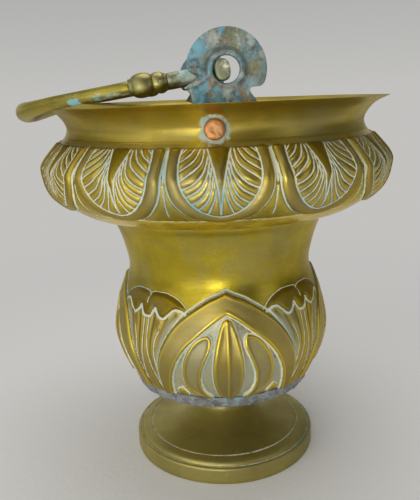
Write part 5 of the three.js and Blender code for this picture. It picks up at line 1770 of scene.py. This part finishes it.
def bow_line():
    """The bow's middle line in (reach, across, above), evenly spaced."""
    straight = [arm_place(BOW_SOCKET + run, 1) for run in (FIT_GAP, BOW_RUN_IN)]
    curved = []
    for i in range(BOW_PLAN_POINTS + 1):
        angle = math.pi * i / BOW_PLAN_POINTS
        length = superellipse(math.sin(angle))
        droop = max(0, (length - DROOP_FROM) / (1 - DROOP_FROM)) ** 2 * BOW_DROOP
        point = (BOW_START + BOW_LENGTH * length, -BOW_HALF_WIDTH * superellipse(math.cos(angle)), -droop)
        if point[0] > BOW_SOCKET + BOW_RUN_IN + BOW_EASING:
            curved.append(point)
    points = straight + curved + [(x, -y, z) for x, y, z in straight[::-1]]
    fine = through(points, 10)
    run = np.concatenate([[0], np.cumsum(np.linalg.norm(np.diff(fine, axis=0), axis=1))])
    at = np.linspace(0, run[-1], BOW_RINGS)
    return np.stack([np.interp(at, run, fine[:, k]) for k in range(3)], 1)


def ring_frame(direction):
    """The side and the rise of a ring that faces a direction."""
    rise = Vector((0, 0, 1))
    side = rise.cross(direction).normalized()
    return side, direction.cross(side).normalized()


def make_bow():
    """The bow, thickened into a grip, with a tenon at each end."""
    line = [Vector(p) for p in bow_line()]
    rings = []
    for i, middle in enumerate(line):
        ahead = (line[min(i + 1, len(line) - 1)] - line[max(i - 1, 0)]).normalized()
        side, rise = ring_frame(ahead)
        share = math.sin(math.pi * i / (len(line) - 1)) ** GRIP_POWER
        radius = ROD_RADIUS + (GRIP_RADIUS - ROD_RADIUS) * share
        radius += 0.12 * noise.noise(middle * 0.09)
        rings.append((middle, side, rise, radius * 0.99, radius, 2.0))
    ends = []
    for ring, step in ((rings[0], -1), (rings[-1], 1)):
        middle, side, rise = ring[:3]
        ahead = (line[1] - line[0] if step < 0 else line[-1] - line[-2]).normalized() * step
        tip = middle + ahead * (BALL_LENGTH / 2 + KNOP_NECK_LENGTH)
        ends.append([(place, side, rise, TENON_RADIUS, TENON_RADIUS, 2.0) for place in (middle, tip)])
    rings = ends[0][::-1] + rings + ends[1]
    settings = colours()
    material = plain_brass("Bow brass", settings.bow_bright, settings.bow_dull, settings, dullness=0.35,
                           roughness=0.34, salts=0.3, rings=0.0, blueness=0.3, stains=BOW_STAINS)
    obj = swept_object("bail_rod", rings, material, bail_frame())
    sharpen(face_out(obj), 50)
    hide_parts("bail_bow")
    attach(obj, "bail")


def make_knop(name, node, mirror):
    """A ring and a ball in one, bored for the tenons of hook and bow."""
    side, rise = ring_frame(Vector((1, -ARM_SPLAY * mirror, 0)).normalized())
    hole, shoulder = TENON_RADIUS + FIT_GAP, KNOP_NECK_RADIUS - 0.3
    profile = [(HOOK_SOCKET, hole), (HOOK_SOCKET, shoulder), (HOOK_SOCKET + 0.3, KNOP_NECK_RADIUS)]
    for angle in np.linspace(0.12, math.pi - 0.12, 13):
        profile.append((RING_REACH - RING_LENGTH / 2 * math.cos(angle),
                        KNOP_NECK_RADIUS + (RING_RADIUS - KNOP_NECK_RADIUS) * math.sin(angle) ** 0.8))
    for angle in np.linspace(0.3, math.pi - 0.3, 21):
        profile.append((BALL_REACH - BALL_LENGTH / 2 * math.cos(angle),
                        KNOP_WAIST_RADIUS + (BALL_RADIUS - KNOP_WAIST_RADIUS) * math.sin(angle) ** 0.85))
    profile += [(BOW_SOCKET - 0.3, KNOP_NECK_RADIUS), (BOW_SOCKET, shoulder), (BOW_SOCKET, hole)]
    rings = []
    for reach, radius in profile:
        rings.append((Vector(arm_place(reach, mirror)), side, rise, radius, radius, 2.0))
    settings = colours()
    material = plain_brass("Bail casting", settings.bail_pale, settings.bail_grey, settings, dullness=0.4,
                           roughness=0.34, salts=0.8, rings=0.0, blueness=0.24)
    obj = swept_object(name, rings, material, bail_frame(), pierced=True)
    sharpen(face_out(obj), 60)
    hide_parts(node)
    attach(obj, "bail")


def make_hook(name, node, mirror):
    """Shank, elbow and the oblong pin that passes out through the ear."""
    shoulder = HOOK_SOCKET - FIT_GAP
    side, rise = ring_frame(Vector((-1, ARM_SPLAY * mirror, 0)).normalized())
    rings = []
    for reach, radius in ((BALL_REACH - TENON_GAP, TENON_RADIUS), (shoulder, TENON_RADIUS),
                          (shoulder, SHANK_RADIUS - 0.4)):
        rings.append((Vector(arm_place(reach, mirror)), side, rise, radius, radius, 2.0))
    bend_start = PIN_OFFSET + ELBOW_RADIUS
    for reach in np.linspace(shoulder - 0.4, bend_start + 1.5, 14):
        slimmer = 0.12 * smoothstep(bend_start + 1, bend_start + 5, reach)
        radius = SHANK_RADIUS - slimmer * (1 + noise.noise(Vector((reach * 0.3, mirror, 0.5))))
        rings.append((Vector(arm_place(reach, mirror)), side, rise, radius, radius, 2.0))
    centre = Vector((bend_start, -mirror * (ARM_HALF_SPAN + ELBOW_RADIUS), 0))
    for share in np.linspace(0, 1, 12):
        angle = math.pi / 2 * share
        spoke = Vector((-math.sin(angle), mirror * math.cos(angle), 0))
        around, above = ring_frame(Vector((-math.cos(angle), -mirror * math.sin(angle), 0)))
        half_side = SHANK_RADIUS + (PIN_HALF_WIDTH - SHANK_RADIUS) * share
        half_rise = SHANK_RADIUS + (PIN_HALF_HEIGHT - SHANK_RADIUS) * share
        power = 2.0 + (PIN_SQUARE_POWER - 2.0) * share
        rings.append((centre + spoke * ELBOW_RADIUS, around, above, half_side, half_rise, power))
    outside = EAR_FACE + EAR_RING_PROUD + PIN_PROUD
    around, above = ring_frame(Vector((0, -mirror, 0)))
    for back, width in ((1.7, 1.0), (0.9, 0.985), (0.4, 0.93), (0.12, 0.84), (0, 0.7), (0, 0.35)):
        middle = Vector((PIN_OFFSET, -mirror * (outside - back), 0))
        half_side, half_rise = PIN_HALF_WIDTH * width, PIN_HALF_HEIGHT * width
        rings.append((middle, around, above, half_side, half_rise, PIN_SQUARE_POWER))
    settings = colours()
    material = plain_brass("Hook casting", settings.hook_pale, settings.hook_grey, settings, dullness=0.35,
                           roughness=0.44, salts=0.9, rings=0.0, blueness=0.22, stains=HOOK_STAINS)
    obj = swept_object(name, rings, material, bail_frame())
    sharpen(face_out(obj), 50)
    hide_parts(node)
    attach(obj, "bail")


# Stage


def make_floor():
    """A plain round floor that fades from pale grey to the backdrop's grey."""
    segments = 96
    points, rings = [(0, 0, 0)], [[0]]
    for radius in (0.02, 0.2, 0.6, 1.5, 4.0):
        rings.append(range(len(points), len(points) + segments))
        angles = [2 * math.pi * k / segments for k in range(segments)]
        points += [(radius * math.cos(angle), radius * math.sin(angle), 0) for angle in angles]
    material, _ = new_material("Pale floor")
    tree = material.node_tree
    place = object_place(tree)
    fade = map_range(tree, vector_step(tree, "LENGTH", place), 0.12, 0.75, kind="SMOOTHSTEP")
    weave = noise_value(tree, place, 260.0, detail=4.0)
    bump = new_node(tree, "ShaderNodeBump", {"Height": weave, "Distance": 0.0004, "Strength": 0.5})
    shader = set_inputs(tree, tree.nodes["Principled BSDF"], {
        "Base Color": colour(colours().floor), "Roughness": 0.9, "Specular IOR Level": 0.15,
        "Normal": bump.outputs[0]})
    far = new_node(tree, "ShaderNodeEmission", {"Color": colour(colours().backdrop)})
    path = new_node(tree, "ShaderNodeLightPath")
    share = calculate(tree, "MULTIPLY", path.outputs["Is Camera Ray"], fade)
    blended = new_node(tree, "ShaderNodeMixShader", {0: share, 1: shader.outputs[0], 2: far.outputs[0]})
    tree.links.new(blended.outputs[0], tree.nodes["Material Output"].inputs["Surface"])
    floor = mesh_object("floor", points, ring_faces(rings), material)


def make_world():
    """Uneven light from all round, weaker on one side, and a backdrop for the camera, with painted shade
    that darkens it higher up.
    """
    world = bpy.data.worlds.new("Studio")
    bpy.context.scene.world = world
    world.use_nodes = True
    tree = world.node_tree
    direction = new_node(tree, "ShaderNodeTexCoord").outputs["Generated"]
    rise = new_node(tree, "ShaderNodeSeparateXYZ", {0: direction})
    # Painted shade: the backdrop that the camera sees is darker higher up
    height = map_range(tree, rise.outputs["Z"], 0.0, 0.2)
    wall = mix_colours(tree, height, colour(colours().backdrop), colour(colours().backdrop_top))
    seen = new_node(tree, "ShaderNodeBackground", {"Color": wall, "Strength": 1.0})
    shade = vector_step(tree, "DOT_PRODUCT", direction, DARK_SIDE)
    fall = map_range(tree, shade, -0.5, 0.9, to_low=1.35, to_high=0.25)
    clouds = noise_value(tree, direction, 2.6)
    uneven = map_range(tree, clouds, 0.35, 0.65, to_low=0.45, to_high=1.45)
    strength = calculate(tree, "MULTIPLY", fall, uneven)
    level = calculate(tree, "MULTIPLY", strength, bpy.context.scene.bucket_lights.world_strength)
    unseen = set_inputs(tree, tree.nodes["Background"], {"Color": (1, 1, 1, 1), "Strength": level})
    path = new_node(tree, "ShaderNodeLightPath").outputs
    direct = calculate(tree, "MAXIMUM", path["Is Camera Ray"], path["Is Transmission Ray"])
    mixed = new_node(tree, "ShaderNodeMixShader", {0: direct, 1: unseen.outputs[0], 2: seen.outputs[0]})
    tree.links.new(mixed.outputs[0], tree.nodes["World Output"].inputs["Surface"])


def area_lamp(name, power, size, place, target):
    data = bpy.data.lights.new(name, "AREA")
    data.energy = power
    data.shape = "RECTANGLE"
    data.size, data.size_y = size
    lamp = bpy.data.objects.new(name, data)
    bpy.context.scene.collection.objects.link(lamp)
    lamp.location = place
    lamp.rotation_euler = (Vector(target) - Vector(place)).to_track_quat("-Z", "Y").to_euler()


def make_camera():
    pitch, yaw, roll = (math.radians(a) for a in (CAMERA_PITCH, CAMERA_YAW, CAMERA_ROLL))
    ahead = Vector((math.sin(yaw) * math.cos(pitch), math.cos(yaw) * math.cos(pitch), -math.sin(pitch)))
    level_right = ahead.cross(Vector((0, 0, 1))).normalized()
    level_up = level_right.cross(ahead)
    right = level_right * math.cos(roll) + level_up * math.sin(roll)
    up = level_up * math.cos(roll) - level_right * math.sin(roll)
    data = bpy.data.cameras.new("Camera")
    data.lens = CAMERA_LENS
    data.shift_x = CAMERA_SHIFT
    data.clip_start, data.clip_end = 0.01, 30
    camera = bpy.data.objects.new("Camera", data)
    bpy.context.scene.collection.objects.link(camera)
    turn = Matrix((right, up, -ahead)).transposed().to_4x4()
    turn.translation = Vector((AXIS_X, -CAMERA_DISTANCE * MM, CAMERA_HEIGHT * MM))
    camera.matrix_world = turn
    bpy.context.scene.camera = camera


# Operators


class BUCKET_OT_stage(bpy.types.Operator):
    """Make the camera, the lamps, the world and the floor"""

    bl_idname = "bucket.stage"
    bl_label = "Stage"

    def execute(self, context):
        lights = context.scene.bucket_lights
        make_camera()
        make_world()
        make_floor()
        for name, (size, place, target) in LAMPS.items():
            area_lamp(name, getattr(lights, f"{name.lower()}_power"), size, place, target)
        context.scene.view_settings.view_transform = "Standard"
        return {"FINISHED"}


class BUCKET_OT_collar(bpy.types.Operator):
    """Make the collar's sheet with its rim and its band of palmettes"""

    bl_idname = "bucket.collar"
    bl_label = "Chased collar"

    def execute(self, context):
        make_collar()
        return {"FINISHED"}


class BUCKET_OT_bowl(bpy.types.Operator):
    """Make the bowl's sheet with its arched panels and leaves"""

    bl_idname = "bucket.bowl"
    bl_label = "Chased bowl"

    def execute(self, context):
        make_bowl()
        return {"FINISHED"}


class BUCKET_OT_foot(bpy.types.Operator):
    """Make the spun foot, the dish above it and the solder round the seam"""

    bl_idname = "bucket.foot"
    bl_label = "Foot, dish and solder"

    def execute(self, context):
        make_foot()
        make_dish()
        make_seam_solder()
        return {"FINISHED"}


class BUCKET_OT_inner(bpy.types.Operator):
    """Make the solder, the bolt's head and the washer inside the bucket"""

    bl_idname = "bucket.inner"
    bl_label = "Inner pieces"

    def execute(self, context):
        make_inner_solder()
        make_bolt()
        make_washer()
        return {"FINISHED"}


class BUCKET_OT_ears(bpy.types.Operator):
    """Make both cast ears and their rivets"""

    bl_idname = "bucket.ears"
    bl_label = "Ears and rivets"

    def execute(self, context):
        for side, turn in (("front", 0.0), ("rear", math.pi)):
            make_ear(f"{side}_cast_ear", f"{side}_ear", turn)
            make_rivet(f"{side}_copper_rivet", f"{side}_rivet", turn)
        return {"FINISHED"}


class BUCKET_OT_bail(bpy.types.Operator):
    """Make the bail's bow, knops and hooks"""

    bl_idname = "bucket.bail"
    bl_label = "Bail"

    def execute(self, context):
        make_bow()
        for side, mirror in (("front", 1), ("rear", -1)):
            make_knop(f"{side}_turned_knop", f"{side}_knop", mirror)
            make_hook(f"{side}_hook_end", f"{side}_bail_hook", mirror)
        return {"FINISHED"}


class BUCKET_PT_panel(bpy.types.Panel):
    """Lists the bucket's settings and the operators that make its pieces"""

    bl_idname = "BUCKET_PT_panel"
    bl_label = "Holy water bucket"
    bl_space_type = "VIEW_3D"
    bl_region_type = "UI"
    bl_category = "Bucket"

    def draw(self, context):
        layout = self.layout
        for settings in (context.scene.bucket_sheets, context.scene.bucket_lights,
                         context.scene.bucket_colours):
            for name in settings.bl_rna.properties.keys():
                if name not in ("rna_type", "name"):
                    layout.prop(settings, name)
        for operator in OPERATORS:
            layout.operator(operator.bl_idname)


OPERATORS = (BUCKET_OT_stage, BUCKET_OT_collar, BUCKET_OT_bowl, BUCKET_OT_foot, BUCKET_OT_inner,
             BUCKET_OT_ears, BUCKET_OT_bail)
SETTINGS = {"bucket_sheets": BucketSheetSettings, "bucket_colours": BucketColourSettings,
            "bucket_lights": BucketLightSettings}


def register():
    for kind in (*SETTINGS.values(), *OPERATORS, BUCKET_PT_panel):
        bpy.utils.register_class(kind)
    for name, kind in SETTINGS.items():
        setattr(bpy.types.Scene, name, PointerProperty(type=kind))


def unregister():
    for name in SETTINGS:
        delattr(bpy.types.Scene, name)
    for kind in (BUCKET_PT_panel, *reversed(OPERATORS), *SETTINGS.values()):
        bpy.utils.unregister_class(kind)


def main():
    register()
    bpy.ops.bucket.stage()
    bpy.ops.bucket.collar()
    bpy.ops.bucket.bowl()
    bpy.ops.bucket.foot()
    bpy.ops.bucket.inner()
    bpy.ops.bucket.ears()
    bpy.ops.bucket.bail()


if __name__ == "__main__":
    main()
